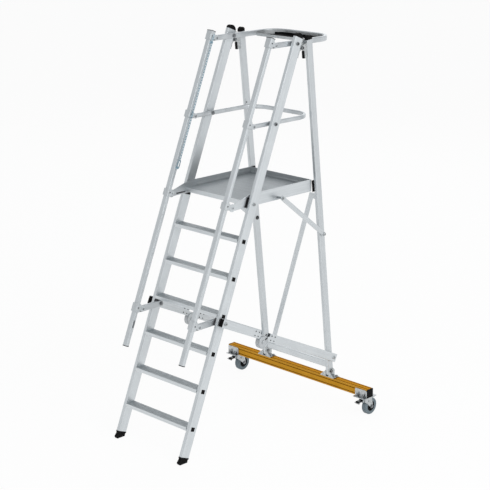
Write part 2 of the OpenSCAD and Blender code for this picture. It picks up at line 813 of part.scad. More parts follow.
// Plate on the handrail, with a hole for the end of a link whose bar crosses it at s
module chain_eye(s, wire) translate([-rail_x + rail_w / 2, rail_row, s]) rotate([90, 0, 0])
    linear_extrude(eye_plate_t, center = true) difference() {
        union() {
            translate([0, -eye_plate_r]) square([chain_off, 2 * eye_plate_r]);
            translate([chain_off, 0]) circle(eye_plate_r);
        }
        translate([chain_off, 0]) circle(wire / sqrt(2) + side_gap);
    }
module chain_hook() color("lightsteelblue") placed() in_front_frame() {
    last_s = chain_top_s - (link_count - 1) * link_pitch;
    hook_s = last_s - (link_long / 2 - link_wire) - (hook_len / 2 - hook_wire) + link_play;
    on_chain(hook_s) link_ring(hook_len, hook_wide, hook_wire);
    chain_eye(chain_top_s + (link_long - link_wire) / 2, link_wire);
    chain_eye(hook_s - (hook_len - hook_wire) / 2, hook_wire);
}

// Guard rails, tray and lower arms
module hoop(z, w, h, r) {
    y0 = on_stile(z) - link_len - tip_reach;
    bend_y = on_stile(z) + hoop_reach - w / 2 - hoop_bend;
    difference() {
        translate([0, 0, z]) {
            for (side = [-1, 1])
                translate([side * rail_x, y0, 0]) rotate([-90, 0, 0])
                    linear_extrude(bend_y - y0) tube_outline(w, h, tube_wall, r);
            translate([rail_x - hoop_bend, bend_y, 0]) rotate_extrude(angle = 90)
                translate([hoop_bend, 0]) tube_outline(w, h, tube_wall, r);
            translate([hoop_bend - rail_x, bend_y, 0]) rotate([0, 0, 90]) rotate_extrude(angle = 90)
                translate([hoop_bend, 0]) tube_outline(w, h, tube_wall, r);
            translate([0, bend_y + hoop_bend, 0]) rotate([90, 0, 90])
                linear_extrude(2 * (rail_x - hoop_bend), center = true) tube_outline(w, h, tube_wall, r);
        }
        translate([0, on_stile(z), z]) bar_x(bolt_d + 2 * run_fit, clear_width);
        translate([0, on_stile(z) - link_len, z]) bar_x(pin_d + 2 * run_fit, clear_width);
    }
}
module top_hoop() color("silver") placed() hoop(hoop_pivot_h, hoop_w, hoop_h, hoop_corner);
module knee_hoop() color("silver") placed() hoop(knee_pivot_h, knee_w, knee_h, knee_corner);
// Tray outline: straight front at y = 0, two round rear corners
module tray_outline(w, d, r) intersection() {
    translate([-w / 2, 0]) square([w, d]);
    union() {
        translate([-w / 2, 0]) square([w, d - r]);
        translate([r - w / 2, 0]) square([w - 2 * r, d]);
        for (side = [-1, 1]) translate([side * (w / 2 - r), d - r]) circle(r);
    }
}
module tool_tray() {
    w = 2 * rail_x - hoop_w - 2 * tray_gap;
    d = hoop_reach - hoop_w - tray_gap - tray_setback;
    r = hoop_bend - hoop_w / 2 - tray_gap;
    color("black") placed()
        translate([0, on_stile(hoop_pivot_h) + tray_setback, hoop_pivot_h - hoop_h / 2 - tray_drop])
            difference() {
                linear_extrude(tray_h) tray_outline(w, d, r);
                translate([0, tray_wall, tray_wall]) linear_extrude(tray_h)
                    tray_outline(w - 2 * tray_wall, d - 2 * tray_wall, r - tray_wall);
                translate([tray_wall - w / 2, -tray_wall, tray_front_h])
                    cube([w - 2 * tray_wall, 3 * tray_wall, tray_h]);
            }
}
module lower_arm_right() color("silver") placed() difference() {
    y0 = on_stile(lower_h) - link_len - tip_reach;
    reach = link_len + 2 * tip_reach;
    translate([rail_x, y0, lower_h]) rotate([-90, 0, 0])
        linear_extrude(reach) tube_outline(arm_w, arm_h, arm_wall, arm_corner);
    translate([rail_x, on_stile(lower_h), lower_h]) bar_x(bolt_d + 2 * run_fit, 2 * arm_w);
    translate([rail_x, on_stile(lower_h) - link_len, lower_h]) bar_x(pin_d + 2 * run_fit, 2 * arm_w);
}
module lower_arm_left() left_side() lower_arm_right();

// Stays: drawn along +Y from the front bolt, then turned down to the rear bolt
module on_stay() placed() translate([stay_x, stay_y, lower_h]) rotate([stay_angle, 0, 0]) children();
module stay_tube(from, to) translate([0, from, 0]) rotate([-90, 0, 0])
    linear_extrude(to - from) tube_outline(stay_w, stay_h, stay_wall, stile_corner);
module knee_disc_outline() translate([knee_along, -knee_drop]) circle(knee_disc_r);
module knee_strap_outline(side, half) {
    far = knee_end_gap + knee_plate_len;
    near = knee_end_gap - knee_strap_in;
    translate([knee_along, 0]) scale([side, 1]) polygon([
        [near, -half], [far, -half], [far, half], [knee_end_gap, half],
        [knee_end_gap, knee_strap_step], [near, 0]
    ]);
}
module knee_bore() translate([0, knee_along, -knee_drop]) bar_x(knee_pin_d + 2 * run_fit, 2 * stay_w);
module rivets(side, face) {
    for (along = [1 / 4, 3 / 4])
        for (row = [-1 / 4, 1 / 4])
            for (flip = [-1, 1])
                translate([flip * (face + rivet_h / 2),
                           knee_along + side * (knee_end_gap + along * knee_plate_len), row * stay_h])
                    bar_x(rivet_d, rivet_h);
}
module stay_front_right() color("silver") on_stay() {
    inside = stay_w - stay_wall;
    difference() {
        stay_tube(-stay_nose, knee_along - knee_end_gap);
        bar_x(bolt_d + 2 * run_fit, 2 * stay_w);
    }
    difference() {
        union() {
            side_extrude(stay_w - 2 * side_gap) knee_disc_outline();
            side_extrude(inside) knee_strap_outline(-1, (stay_h - stay_wall) / 2);
        }
        knee_bore();
    }
    rivets(-1, stay_w / 2);
}
module stay_front_left() left_side() stay_front_right();
module stay_rear_right() color("silver") on_stay() {
    face = stay_w / 2 + knee_plate_t;
    stay_tube(knee_along + knee_end_gap, stay_len + stay_tail);
    for (flip = [-1, 1]) {
        translate([flip * (face - knee_plate_t / 2), 0, 0]) side_extrude(knee_plate_t) {
            knee_disc_outline();
            knee_strap_outline(1, stay_h / 2 - stile_corner);
        }
        translate([flip * (face + knee_pin_head_h / 2), knee_along, -knee_drop])
            bar_x(knee_pin_head_d, knee_pin_head_h);
    }
    translate([0, knee_along, -knee_drop]) bar_x(knee_pin_d, 2 * face);
    rivets(1, face);
    boss_in = stile_out + stay_boss_gap - stay_x;
    translate([(boss_in - stay_w / 2) / 2, stay_len, 0]) bar_x(stay_boss_d, -stay_w / 2 - boss_in);
    translate([stay_w / 2 + head_h / 2, stay_len, 0]) bar_x(head_d, head_h);
}
module stay_rear_left() left_side() stay_rear_right();

// Platform braces: drawn along +Y from the pin
module platform_brace_right() color("silver") placed()
    translate([brace_in + brace_t / 2, brace_pin_y, platform_pivot_h]) rotate([brace_angle, 0, 0]) {
        side_extrude(brace_t) difference() {
            union() {
                translate([0, -brace_w / 2]) square([brace_len, brace_w]);
                circle(d = brace_w);
                translate([brace_len, 0]) circle(d = brace_w);
            }
            circle(brace_pin_d / 2 + run_fit);
        }
        boss = spacer_t - side_gap;
        translate([-brace_t / 2 - boss / 2, brace_len, 0]) bar_x(brace_boss_d, boss);
        translate([brace_t / 2 + head_h / 2, brace_len, 0]) bar_x(head_d, head_h);
    }
module platform_brace_left() left_side() platform_brace_right();

// Castors: drawn about the swivel axis with the wheel trailing to the rear
module at_castor() placed() translate([castor_x, castor_y, 0]) children();
module fork_leg_outline() {
    difference() {
        union() {
            polygon([
                [-fork_front, bridge_z + fork_plate_t], [fork_back, bridge_z + fork_plate_t],
                [castor_trail + axle_eye_r, wheel_r], [castor_trail - axle_eye_r, wheel_r],
                [-fork_front, bridge_z - axle_eye_r]
            ]);
            translate([castor_trail, wheel_r]) circle(axle_eye_r);
        }
        translate([castor_trail, wheel_r]) circle(axle_d / 2 + seat_fit);
    }
}
module castor_fork_right() color("lightsteelblue") at_castor() {
    leg_out = fork_leg_x + fork_plate_t / 2;
    difference() {
        union() {
            translate([0, 0, bridge_z + fork_plate_t]) cylinder(d = head_ring_d, h = head_ring_h);
            translate([-leg_out, -fork_front, bridge_z])
                cube([2 * leg_out, fork_front + fork_back, fork_plate_t]);
        }
        cylinder(d = kingpin_d + 2 * run_fit, h = head_top + overrun);
    }
    for (side = [-1, 1])
        translate([side * fork_leg_x, 0, 0]) side_extrude(fork_plate_t) fork_leg_outline();
    translate([0, castor_trail, wheel_r]) {
        bar_x(axle_d, 2 * leg_out);
        for (side = [-1, 1])
            translate([side * (leg_out + axle_head_h / 2), 0, 0]) bar_x(axle_head_d, axle_head_h);
    }
    ear_x = pedal_w / 2 + side_gap + pedal_ear_t / 2;
    for (side = [-1, 1])
        translate([side * ear_x, 0, 0]) side_extrude(pedal_ear_t) {
            translate([pedal_pin_y, pedal_pin_z - pedal_ear_r])
                square([-fork_front - pedal_pin_y + fork_plate_t, bridge_z - pedal_pin_z + pedal_ear_r]);
            translate([pedal_pin_y, pedal_pin_z]) circle(pedal_ear_r);
        }
    translate([0, pedal_pin_y, pedal_pin_z]) bar_x(pedal_pin_d, 2 * ear_x);
}
module castor_fork_left() left_side() castor_fork_right();
module at_wheel() at_castor() translate([0, castor_trail, wheel_r]) rotate([0, 90, 0]) children();
module castor_hub_right() color("dimgray") at_wheel() rotate_extrude() difference() {
    bore = axle_d / 2 + run_fit;
    translate([bore, -wheel_w / 2]) square([hub_r - bore, wheel_w]);
    for (side = [-1, 1])
        translate([hub_boss_r, side * (wheel_w / 2 - hub_recess / 2) - hub_recess / 2])
            square([hub_web_r - hub_boss_r, hub_recess]);
}
module castor_hub_left() left_side() castor_hub_right();
module castor_tyre_right() color("slategray") at_wheel() rotate_extrude() {
    half = wheel_w / 2;
    translate([hub_r, -half]) square([wheel_r - tyre_round - hub_r, wheel_w]);
    translate([hub_r, tyre_round - half]) square([wheel_r - hub_r, wheel_w - 2 * tyre_round]);
    for (side = [-1, 1]) translate([wheel_r - tyre_round, side * (half - tyre_round)]) circle(tyre_round);
}
module castor_tyre_left() left_side() castor_tyre_right();
module brake_pedal_right() color("black") at_castor() translate([0, pedal_pin_y, pedal_pin_z]) difference() {
    union() {
        bar_x(pedal_barrel_d, pedal_w);
        translate([0, -pedal_len / 2, 0]) cube([pedal_w, pedal_len, pedal_t], center = true);
        translate([0, -pedal_len + pedal_t / 2, -pedal_t]) cube([pedal_w, pedal_t, pedal_t], center = true);
    }
    bar_x(pedal_pin_d + 2 * run_fit, 2 * pedal_w);
}
module brake_pedal_left() left_side() brake_pedal_right();

front_stile_left();
front_stile_right();
tread(1);  // tread_1
tread(2);  // tread_2
tread(3);  // tread_3
tread(4);  // tread_4
tread(5);  // tread_5
tread(6);  // tread_6
tread_plugs();
front_feet();
front_caps();
front_hinge_plates();
pivot_bolts();
stay_spacers();
pivot_washers();
hinge_lock_pins();
rear_stile_left();
rear_stile_right();
rear_caps();
rear_cross_member();
rear_diagonal_brace();
rear_hinge_plates();
rear_buffers();
beam_brackets();
beam_bolts();
castor_beam();
beam_end_caps();
castor_saddles();
platform_deck();
platform_plate_left();
platform_plate_right();
platform_rear_board();
brace_pins();
handrail_left();
handrail_right();
left_rail_clamps();
right_rail_clamps();
left_rail_caps();
right_rail_caps();
safety_chain();
chain_hook();
top_hoop();
tool_tray();
knee_hoop();
lower_arm_left();
lower_arm_right();
stay_front_left();
stay_front_right();
stay_rear_left();
stay_rear_right();
platform_brace_left();
platform_brace_right();
castor_fork_left();
castor_fork_right();
castor_hub_left();
castor_hub_right();
castor_tyre_left();
castor_tyre_right();
brake_pedal_left();
brake_pedal_right();
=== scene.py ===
# %% [markdown]
# A mobile folding platform ladder: two leaning box stiles with treads, a hinged rear frame on a long
# gold beam with castors, a lift-up platform and guard rails of bent tube.
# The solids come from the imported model, already in metres and already in place, so this lesson gives
# them their finishes and adds the small fittings that the solids leave out.

# %% Load the frame
import json
import math

import bmesh
import bpy
from mathutils import Matrix, Vector


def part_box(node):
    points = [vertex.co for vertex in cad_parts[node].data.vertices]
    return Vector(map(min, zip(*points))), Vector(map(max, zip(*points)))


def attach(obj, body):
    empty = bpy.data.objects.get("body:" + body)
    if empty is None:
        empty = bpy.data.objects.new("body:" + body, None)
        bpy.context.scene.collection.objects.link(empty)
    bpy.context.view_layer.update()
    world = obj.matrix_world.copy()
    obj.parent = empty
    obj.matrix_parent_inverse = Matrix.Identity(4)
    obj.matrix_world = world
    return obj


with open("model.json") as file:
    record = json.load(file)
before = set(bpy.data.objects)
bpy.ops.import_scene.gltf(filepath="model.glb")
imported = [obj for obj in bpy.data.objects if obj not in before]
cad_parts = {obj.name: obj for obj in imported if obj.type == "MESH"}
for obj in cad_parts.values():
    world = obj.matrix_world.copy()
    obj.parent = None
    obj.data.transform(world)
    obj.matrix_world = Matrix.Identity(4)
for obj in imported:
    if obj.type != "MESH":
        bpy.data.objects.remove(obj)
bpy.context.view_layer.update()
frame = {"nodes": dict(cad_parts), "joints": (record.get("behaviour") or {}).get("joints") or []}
scene = bpy.context.scene
pivot = {j["name"]: Vector(j["pos_m"]) for j in frame["joints"]}

# %% [markdown]
# The camera comes first, because every later choice is judged through it. The photograph was taken
# from the front right, a little above the platform, with a long lens, so the stiles hardly converge.
# A place and a point to look at are easier to read than three angles, so the turn is worked out.

# %% Camera
def looking(place, aim):
    return (Vector(aim) - Vector(place)).to_track_quat("-Z", "Y").to_euler()


camera_place = Vector((6.7553, -6.7393, 3.9849))
camera_aim = Vector((0.0, 0.1362, 1.2649))
camera_data = bpy.data.cameras.new("front_right_camera")
camera_data.lens = 104.95
camera_data.sensor_width = 36.0
camera_data.clip_end = 400.0
camera = bpy.data.objects.new("front_right_camera", camera_data)
camera.location = camera_place
camera.rotation_euler = looking(camera_place, camera_aim)
scene.collection.objects.link(camera)
scene.camera = camera
print("camera stands", round((camera_aim - camera_place).length, 2), "m away")

# %% [markdown]
# A finish is a small tree of shader nodes. Wiring nodes by hand hides the sum that they stand for, so
# one class wraps an output socket: arithmetic on it adds Math nodes, and its node method adds any other
# kind. A finish then reads as a short formula. A noise seldom leaves the middle half of its range, so
# spread stretches that half over the whole range. A tube has two faces at the same distance from its
# middle, and near_faces is 1 at both of them and fades to 0 beside them.

# %% A socket that can be calculated with
class Flow:
    # A Mix node has sockets for numbers, vectors and colours, so the ones for colours go by number.
    MIX_SHARE = 0
    MIX_BELOW = 6
    MIX_ABOVE = 7
    MIX_COLOUR = 2

    def __init__(self, tree, socket=None):
        self.tree = tree
        self.socket = socket

    def node(self, kind, settings=None, sockets=None, out=0):
        made = self.tree.nodes.new(kind)
        for name, value in (settings or {}).items():
            setattr(made, name, value)
        for name, value in (sockets or {}).items():
            if isinstance(value, Flow):
                self.tree.links.new(value.socket, made.inputs[name])
            else:
                made.inputs[name].default_value = value
        return Flow(self.tree, made.outputs[out])

    def math(self, operation, first, second=0.0):
        return self.node("ShaderNodeMath", {"operation": operation}, {0: first, 1: second})

    def __add__(self, other):
        return self.math("ADD", self, other)

    def __radd__(self, other):
        return self.math("ADD", other, self)

    def __sub__(self, other):
        return self.math("SUBTRACT", self, other)

    def __rsub__(self, other):
        return self.math("SUBTRACT", other, self)

    def __mul__(self, other):
        return self.math("MULTIPLY", self, other)

    def __rmul__(self, other):
        return self.math("MULTIPLY", other, self)

    def __abs__(self):
        return self.math("ABSOLUTE", self)

    def step(self, low, high):
        settings = {"interpolation_type": "SMOOTHSTEP"}
        return self.node("ShaderNodeMapRange", settings, {0: self, 1: low, 2: high})

    def spread(self):
        return self.step(0.25, 0.75)

    def near_faces(self, middle, half, fade):
        off = abs(abs(self - middle) - half)
        return 1.0 - off.step(0.3 * fade, fade)

    def over(self, below, above):
        sockets = {self.MIX_SHARE: self, self.MIX_BELOW: below, self.MIX_ABOVE: above}
        return self.node("ShaderNodeMix", {"data_type": "RGBA"}, sockets, self.MIX_COLOUR)

    def between(self, dark, light):
        return self.over((*dark, 1.0), (*light, 1.0))


# %% [markdown]
# Every finish starts from two things: where a point lies on the ladder and which way its face looks.
# A pattern could be laid on a map of the surface, but the solids have no such map, so noise is read at
# the point's place. Stretching and turning that place draws patches out into streaks, and the sizes
# given are those of the real pattern in metres.

# %% A finish
class Finish:
    def __init__(self, name):
        self.material = bpy.data.materials.new(name)
        self.material.use_nodes = True
        self.tree = self.material.node_tree
        self.shader = self.tree.nodes["Principled BSDF"]
        self.place = Flow(self.tree).node("ShaderNodeTexCoord", out="Object")
        self.facing = Flow(self.tree).node("ShaderNodeTexCoord", out="Normal")

    def mapped(self, size, turn=(0.0, 0.0, 0.0)):
        sockets = {"Vector": self.place, "Rotation": turn, "Scale": size}
        return self.place.node("ShaderNodeMapping", {"vector_type": "TEXTURE"}, sockets)

    def noise(self, where, detail=2.0, roughness=0.5):
        sockets = {"Vector": where, "Scale": 1.0, "Detail": detail, "Roughness": roughness}
        return self.place.node("ShaderNodeTexNoise", None, sockets)

    def patches(self, size, detail=2.0, roughness=0.5):
        return self.noise(self.mapped((size, size, size)), detail, roughness)

    def cross_streaks(self, length, width):
        return self.noise(self.mapped((length, width, width)), 3.0)

    def along(self, direction):
        sockets = {0: self.place, 1: direction}
        return self.place.node("ShaderNodeVectorMath", {"operation": "DOT_PRODUCT"}, sockets, "Value")

    def looks_along(self, axis):
        return self.facing.node("ShaderNodeSeparateXYZ", None, {0: self.facing}, axis)

    def constant(self, name, value):
        self.shader.inputs[name].default_value = value

    def paint(self, colour, roughness, metallic, height, depth, strength):
        self.tree.links.new(colour.socket, self.shader.inputs["Base Color"])
        self.tree.links.new(roughness.socket, self.shader.inputs["Roughness"])
        self.constant("Metallic", metallic)
        sockets = {"Height": height, "Distance": depth, "Strength": strength}
        bump = self.place.node("ShaderNodeBump", None, sockets)
        self.tree.links.new(bump.socket, self.shader.inputs["Normal"])
        print("finish:", self.material.name, len(self.tree.nodes), "nodes")
        return self.material


# %% [markdown]
# The stiles, rails and stays are extruded aluminium, left as it came from the die: pale, satin, with
# faint streaks that run the length of each tube. A noise that is stretched a hundred times along the
# tube gives them. Tubes lean different ways, so the pattern is turned to each lean. Some tubes also
# take a mark, which is a second formula that says where the colour goes darker: duller metal on the
# knee discs, painted shade and a painted reflection elsewhere.

# %% Extruded aluminium
metal_dark = (0.55, 0.58, 0.60)
metal_light = (0.68, 0.715, 0.735)


def extruded_aluminium(name, lean, tone=1.0, gloss=0.36, mark=None):
    finish = Finish(name)
    lean_turn = (math.radians(-lean), 0.0, 0.0)
    streak = finish.noise(finish.mapped((0.0035, 0.0035, 0.45), lean_turn), 3.0)
    fine = finish.noise(finish.mapped((0.0007, 0.0007, 0.08), lean_turn))
    cloud = finish.patches(0.16)
    mix = (0.5 * streak + 0.25 * fine + 0.25 * cloud).spread()
    dark = [tone * v for v in metal_dark]
    light = [tone * v for v in metal_light]
    colour = mix.between(dark, light)
    if mark is not None:
        # The darker copy of the colour: duller metal on the knee discs, painted shade and painted
        # reflection for the other marks.
        dull_and_shaded = mix.between([0.62 * v for v in dark], [0.66 * v for v in light])
        colour = mark(finish).over(colour, dull_and_shaded)
    roughness = gloss - 0.04 + 0.14 * streak - 0.05 * cloud
    height = 0.7 * streak + 0.3 * fine
    return finish.paint(colour, roughness, metallic=0.88, height=height, depth=0.00025, strength=0.12)


# %% [markdown]
# Three marks. Stiles and handrails have rounded corners, and shade is painted along them, patchy along
# the tube: a point that lies near a broad face and near a narrow face at once is on such a corner. The
# knee disc of a stay is pressed from duller metal, so every point within its radius is darker, and its
# rim darker still. The inner sides of the platform's kerbs get painted shade, and the stiles just above
# the platform get a painted reflection of the dark kerb. Those are the faces that look towards X = 0,
# where the normal's X and the place's X differ in sign.

# %% Shaded corners, knee disc and kerbs
X_AXIS = Vector((1.0, 0.0, 0.0))
Y_AXIS = Vector((0.0, 1.0, 0.0))
Z_AXIS = Vector((0.0, 0.0, 1.0))
front_degrees = 22.0
front_lean = math.radians(front_degrees)
front_across = Vector((0.0, math.cos(front_lean), -math.sin(front_lean)))
stile_middle = 0.3175
rail_foot = Vector((0.28, -0.74122, 0.67267))
corner_fade = 0.005


# Painted shade along the rounded corners of a leaning tube, broken into patches along its length.
def leaning_corners(on_axis, half_width, half_depth):
    def mark(finish):
        sideways = abs(finish.along(X_AXIS))
        narrow = sideways.near_faces(on_axis.x, half_width, corner_fade)
        frontways = finish.along(front_across)
        broad = frontways.near_faces(front_across.dot(on_axis), half_depth, corner_fade)
        along_tube = finish.mapped((0.02, 0.02, 0.2), (-front_lean, 0.0, 0.0))
        corner_shade_patches = finish.noise(along_tube, 3.0).step(0.2, 0.7)
        return narrow * broad * (0.45 + 0.35 * corner_shade_patches)
    return mark


stile_corners = leaning_corners(Vector((stile_middle, *pivot["platform_fold"].yz)), 0.0125, 0.0365)
rail_corners = leaning_corners(rail_foot, 0.019, 0.014)
clamp_corners = leaning_corners(rail_foot, 0.025, 0.020)


def inward_faces(finish):
    return (finish.looks_along("X") * finish.along(X_AXIS)).step(-0.05, -0.2)


# Painted shade on the inner sides of the platform's kerbs.
def kerb_inside_shade(finish):
    return inward_faces(finish) * 0.7


def stile_marks(finish):
    corners = stile_corners(finish)
    height = finish.along(Z_AXIS)
    # Above the platform the inner faces of the stiles get a painted reflection of the dark kerb.
    above_platform = height.step(1.70, 1.73) * (1.0 - height.step(1.76, 2.0))
    kerb_reflection = inward_faces(finish) * above_platform
    return corners.math("MAXIMUM", corners, kerb_reflection)


def knee_disc(finish):
    knee = pivot["stay_rear_right_swing"]
    flat = finish.place.node("ShaderNodeVectorMath", {"operation": "MULTIPLY"},
                             {0: finish.place, 1: (0.0, 1.0, 1.0)})
    reach = flat.node("ShaderNodeVectorMath", {"operation": "DISTANCE"},
                      {0: flat, 1: (0.0, knee.y, knee.z)}, "Value")
    inside = 1.0 - reach.step(0.0468, 0.0476)
    rim = reach.step(0.0425, 0.0445)
    return inside * (0.45 + 0.45 * rim)


# %% [markdown]
# Each kind of tube has its own lean, and a tone and a gloss that were judged against the photograph.
# The lean is the angle from upright towards the rear, in degrees.

# %% Aluminium tubes
rear_degrees = 6.4
stay_degrees = 115.5
brace_degrees = 128.0
level_degrees = 90.0
stile_aluminium = extruded_aluminium("stile_aluminium", front_degrees, 1.03, 0.42, stile_marks)
handrail_aluminium = extruded_aluminium("handrail_aluminium", front_degrees, 0.98, 0.52, rail_corners)
clamp_aluminium = extruded_aluminium("clamp_aluminium", front_degrees, 0.93, 0.52, clamp_corners)
stay_aluminium = extruded_aluminium("stay_aluminium", stay_degrees, 1.0, 0.42, knee_disc)
rear_aluminium = extruded_aluminium("rear_stile_aluminium", -rear_degrees, 0.94, 0.42)
brace_aluminium = extruded_aluminium("brace_aluminium", brace_degrees, 0.96)
level_aluminium = extruded_aluminium("level_aluminium", level_degrees, mark=kerb_inside_shade)
arm_aluminium = extruded_aluminium("arm_aluminium", level_degrees, 0.82, 0.42)

# %% [markdown]
# Pieces that run across the ladder, such as the cross member and the rear board, have their streaks
# along X. The same noise is stretched along X instead.

# %% Aluminium across the ladder
def across_aluminium(name, dark, light, gloss):
    finish = Finish(name)
    streak = finish.cross_streaks(0.5, 0.0035)
    cloud = finish.patches(0.12)
    colour = (0.65 * streak + 0.35 * cloud).spread().between(dark, light)
    roughness = gloss + 0.12 * streak
    return finish.paint(colour, roughness, metallic=0.88, height=streak, depth=0.00025, strength=0.12)


cross_aluminium = across_aluminium("cross_aluminium", metal_dark, metal_light, 0.34)
board_aluminium = across_aluminium("board_aluminium", (0.34, 0.36, 0.375), (0.45, 0.475, 0.49), 0.38)

# %% [markdown]
# Treads and platform floor are ribbed extrusions that shoes have scuffed. Their tops are duller and,
# as painted shade under the dim light from above, darker than the front lips, so the finish looks at
# which way a face points: up is grey, forward is pale. Scuffs are a second noise that only the top shows.

# %% Tread and deck
def walked_on(name, shaded_top_dark, shaded_top_light):
    finish = Finish(name)
    up = finish.looks_along("Z").step(0.4, 0.8)
    streak = finish.cross_streaks(0.6, 0.003)
    scuff = finish.noise(finish.mapped((0.05, 0.02, 0.05)), 4.0, 0.65)
    wear = 0.6 * streak + 0.4 * scuff
    # The top colour is painted shade: tops of the same metal are darker than the pale front lips.
    top = wear.spread().between(shaded_top_dark, shaded_top_light)
    side = streak.spread().between((0.56, 0.59, 0.61), (0.70, 0.735, 0.755))
    colour = up.over(side, top)
    roughness = 0.36 + 0.1 * streak + 0.1 * up * scuff
    return finish.paint(colour, roughness, metallic=0.85, height=wear, depth=0.0003, strength=0.15)


tread_aluminium = walked_on("tread_aluminium", (0.38, 0.405, 0.42), (0.50, 0.53, 0.545))
deck_aluminium = walked_on("deck_aluminium", (0.41, 0.435, 0.45), (0.51, 0.535, 0.55))

# %% [markdown]
# The guard rails are bent from round-cornered tube with a brighter drawn finish. Their direction
# changes along the bend, so the pattern has no direction: a soft cloud with fine speckle.

# %% Bent rail tube
def bent_tube(name):
    finish = Finish(name)
    cloud = finish.patches(0.09, 3.0)
    speck = finish.patches(0.0015)
    mix = 0.7 * cloud + 0.3 * speck
    colour = mix.spread().between((0.44, 0.465, 0.485), (0.59, 0.62, 0.64))
    roughness = 0.25 + 0.1 * cloud + 0.05 * speck
    return finish.paint(colour, roughness, metallic=0.78, height=speck, depth=0.0001, strength=0.08)


rail_aluminium = bent_tube("rail_aluminium")

# %% [markdown]
# Feet, plugs, pads and caps are moulded black plastic with a fine pebbled skin. A small-celled noise
# in the bump breaks up the highlight, and a slow cloud keeps the black from being one flat value.

# %% Moulded black plastic
def moulded_black(name, tone, gloss):
    finish = Finish(name)
    pebble = finish.patches(0.0012)
    dust = finish.patches(0.025, 4.0, 0.6)
    dark = (tone * 0.7, tone * 0.7, tone * 0.75)
    light = (tone * 1.7, tone * 1.7, tone * 1.8)
    colour = (0.7 * dust + 0.3 * pebble).step(0.3, 0.8).between(dark, light)
    roughness = gloss + 0.15 * dust
    finish.constant("Specular IOR Level", 0.07)
    return finish.paint(colour, roughness, metallic=0.0, height=pebble, depth=0.0004, strength=0.25)


black_plastic = moulded_black("black_plastic", 0.0045, 0.5)
hub_plastic = moulded_black("hub_plastic", 0.007, 0.45)
cap_plastic = moulded_black("cap_plastic", 0.07, 0.45)

# %% [markdown]
# The pads that keep turning pieces off the stiles are black at the platform and below, and pale nylon
# at the rails above. They are one solid, so the height of a point picks the tone.

# %% Pads and washers
def two_tone_pads(name, change_height):
    finish = Finish(name)
    grain = finish.patches(0.0015)
    dust = finish.patches(0.02, 3.0)
    black = dust.step(0.3, 0.8).between((0.005, 0.005, 0.006), (0.014, 0.014, 0.016))
    nylon = dust.step(0.3, 0.8).between((0.42, 0.44, 0.45), (0.52, 0.54, 0.55))
    at_rails = finish.along(Z_AXIS).step(change_height - 0.01, change_height + 0.01)
    colour = at_rails.over(black, nylon)
    roughness = 0.42 + 0.15 * dust
    finish.constant("Specular IOR Level", 0.08)
    return finish.paint(colour, roughness, metallic=0.0, height=grain, depth=0.0004, strength=0.2)


pad_plastic = two_tone_pads("pad_plastic", 1.95)

# %% [markdown]
# Castor forks, saddles and brackets are pressed steel with bright zinc. Zinc sets in patches, so a
# cell pattern with a faint change of tone sits under the gloss.

# %% Zinc and bolts
def zinc_plated(name, dark, light, gloss):
    finish = Finish(name)
    cell_place = finish.mapped((0.007, 0.007, 0.007))
    cells = finish.place.node("ShaderNodeTexVoronoi", None, {"Vector": cell_place, "Scale": 1.0}, "Color")
    patch = cells.node("ShaderNodeSeparateColor", None, {0: cells}, "Red")
    cloud = finish.patches(0.03, 3.0)
    colour = (0.4 * patch + 0.6 * cloud).step(0.2, 0.8).between(dark, light)
    roughness = gloss + 0.08 * patch + 0.1 * cloud
    return finish.paint(colour, roughness, metallic=1.0, height=cloud, depth=0.0002, strength=0.1)


zinc_steel = zinc_plated("zinc_steel", (0.34, 0.365, 0.37), (0.60, 0.62, 0.63), 0.26)
bolt_steel = zinc_plated("bolt_steel", (0.17, 0.18, 0.19), (0.30, 0.31, 0.32), 0.28)
chain_zinc = zinc_plated("chain_zinc", (0.26, 0.39, 0.46), (0.44, 0.57, 0.64), 0.26)
dark_steel = zinc_plated("dark_steel", (0.05, 0.052, 0.055), (0.11, 0.112, 0.116), 0.34)
tray_sheet = zinc_plated("tray_sheet", (0.46, 0.48, 0.49), (0.58, 0.60, 0.61), 0.38)

# %% [markdown]
# The beam is a box of aluminium in a deep gold coat. The streaks of the extrusion still show through
# the coat as slightly richer and paler lines along X. Its long slots hold dirt, and their shade is
# painted
# too: the coat is darkened wherever a point lies in one of the bands that the slots were cut in. Along
# the four corners the coat is paler, a painted highlight of the rounded edges together with coat rubbed
# thin.

# %% Gold beam
def gold_coat(name):
    finish = Finish(name)
    streak = finish.cross_streaks(0.7, 0.003)
    cloud = finish.patches(0.1)
    low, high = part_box("castor_beam")
    middle = (Vector(low) + Vector(high)) / 2
    half = (high[2] - low[2]) / 2.0
    slot_offset = 0.54 * half
    slot_fade = 0.0036
    edge_fade = 0.004
    in_slot = 0.0
    at_edge = 1.0
    for direction, centre in ((Y_AXIS, middle.y), (Z_AXIS, middle.z)):
        across = finish.along(direction)
        in_slot = across.near_faces(centre, slot_offset, slot_fade) + in_slot
        at_edge = across.near_faces(centre, half, edge_fade) * at_edge
    mix = (0.6 * streak + 0.4 * cloud).spread()
    coat = mix.between((0.46, 0.225, 0.018), (0.56, 0.285, 0.032))
    # Paler coat on the corners: painted highlight of the rounded edges and coat rubbed thin.
    rubbed_and_highlit = mix.between((0.56, 0.30, 0.05), (0.68, 0.40, 0.10))
    # Slot colour: dirt and painted shade in the slots.
    dirt_and_shade = cloud.step(0.3, 0.7).between((0.22, 0.105, 0.012), (0.31, 0.15, 0.02))
    colour = in_slot.math("MINIMUM", in_slot, 1.0).over(at_edge.over(coat, rubbed_and_highlit), dirt_and_shade)
    roughness = 0.36 + 0.14 * streak
    finish.constant("Specular Tint", (0.72, 0.45, 0.12, 1.0))
    return finish.paint(colour, roughness, metallic=0.85, height=streak, depth=0.0003, strength=0.15)


gold_aluminium = gold_coat("gold_aluminium")

# %% [markdown]
# The tyres are grey rubber. Rubber is dull and a little mottled.

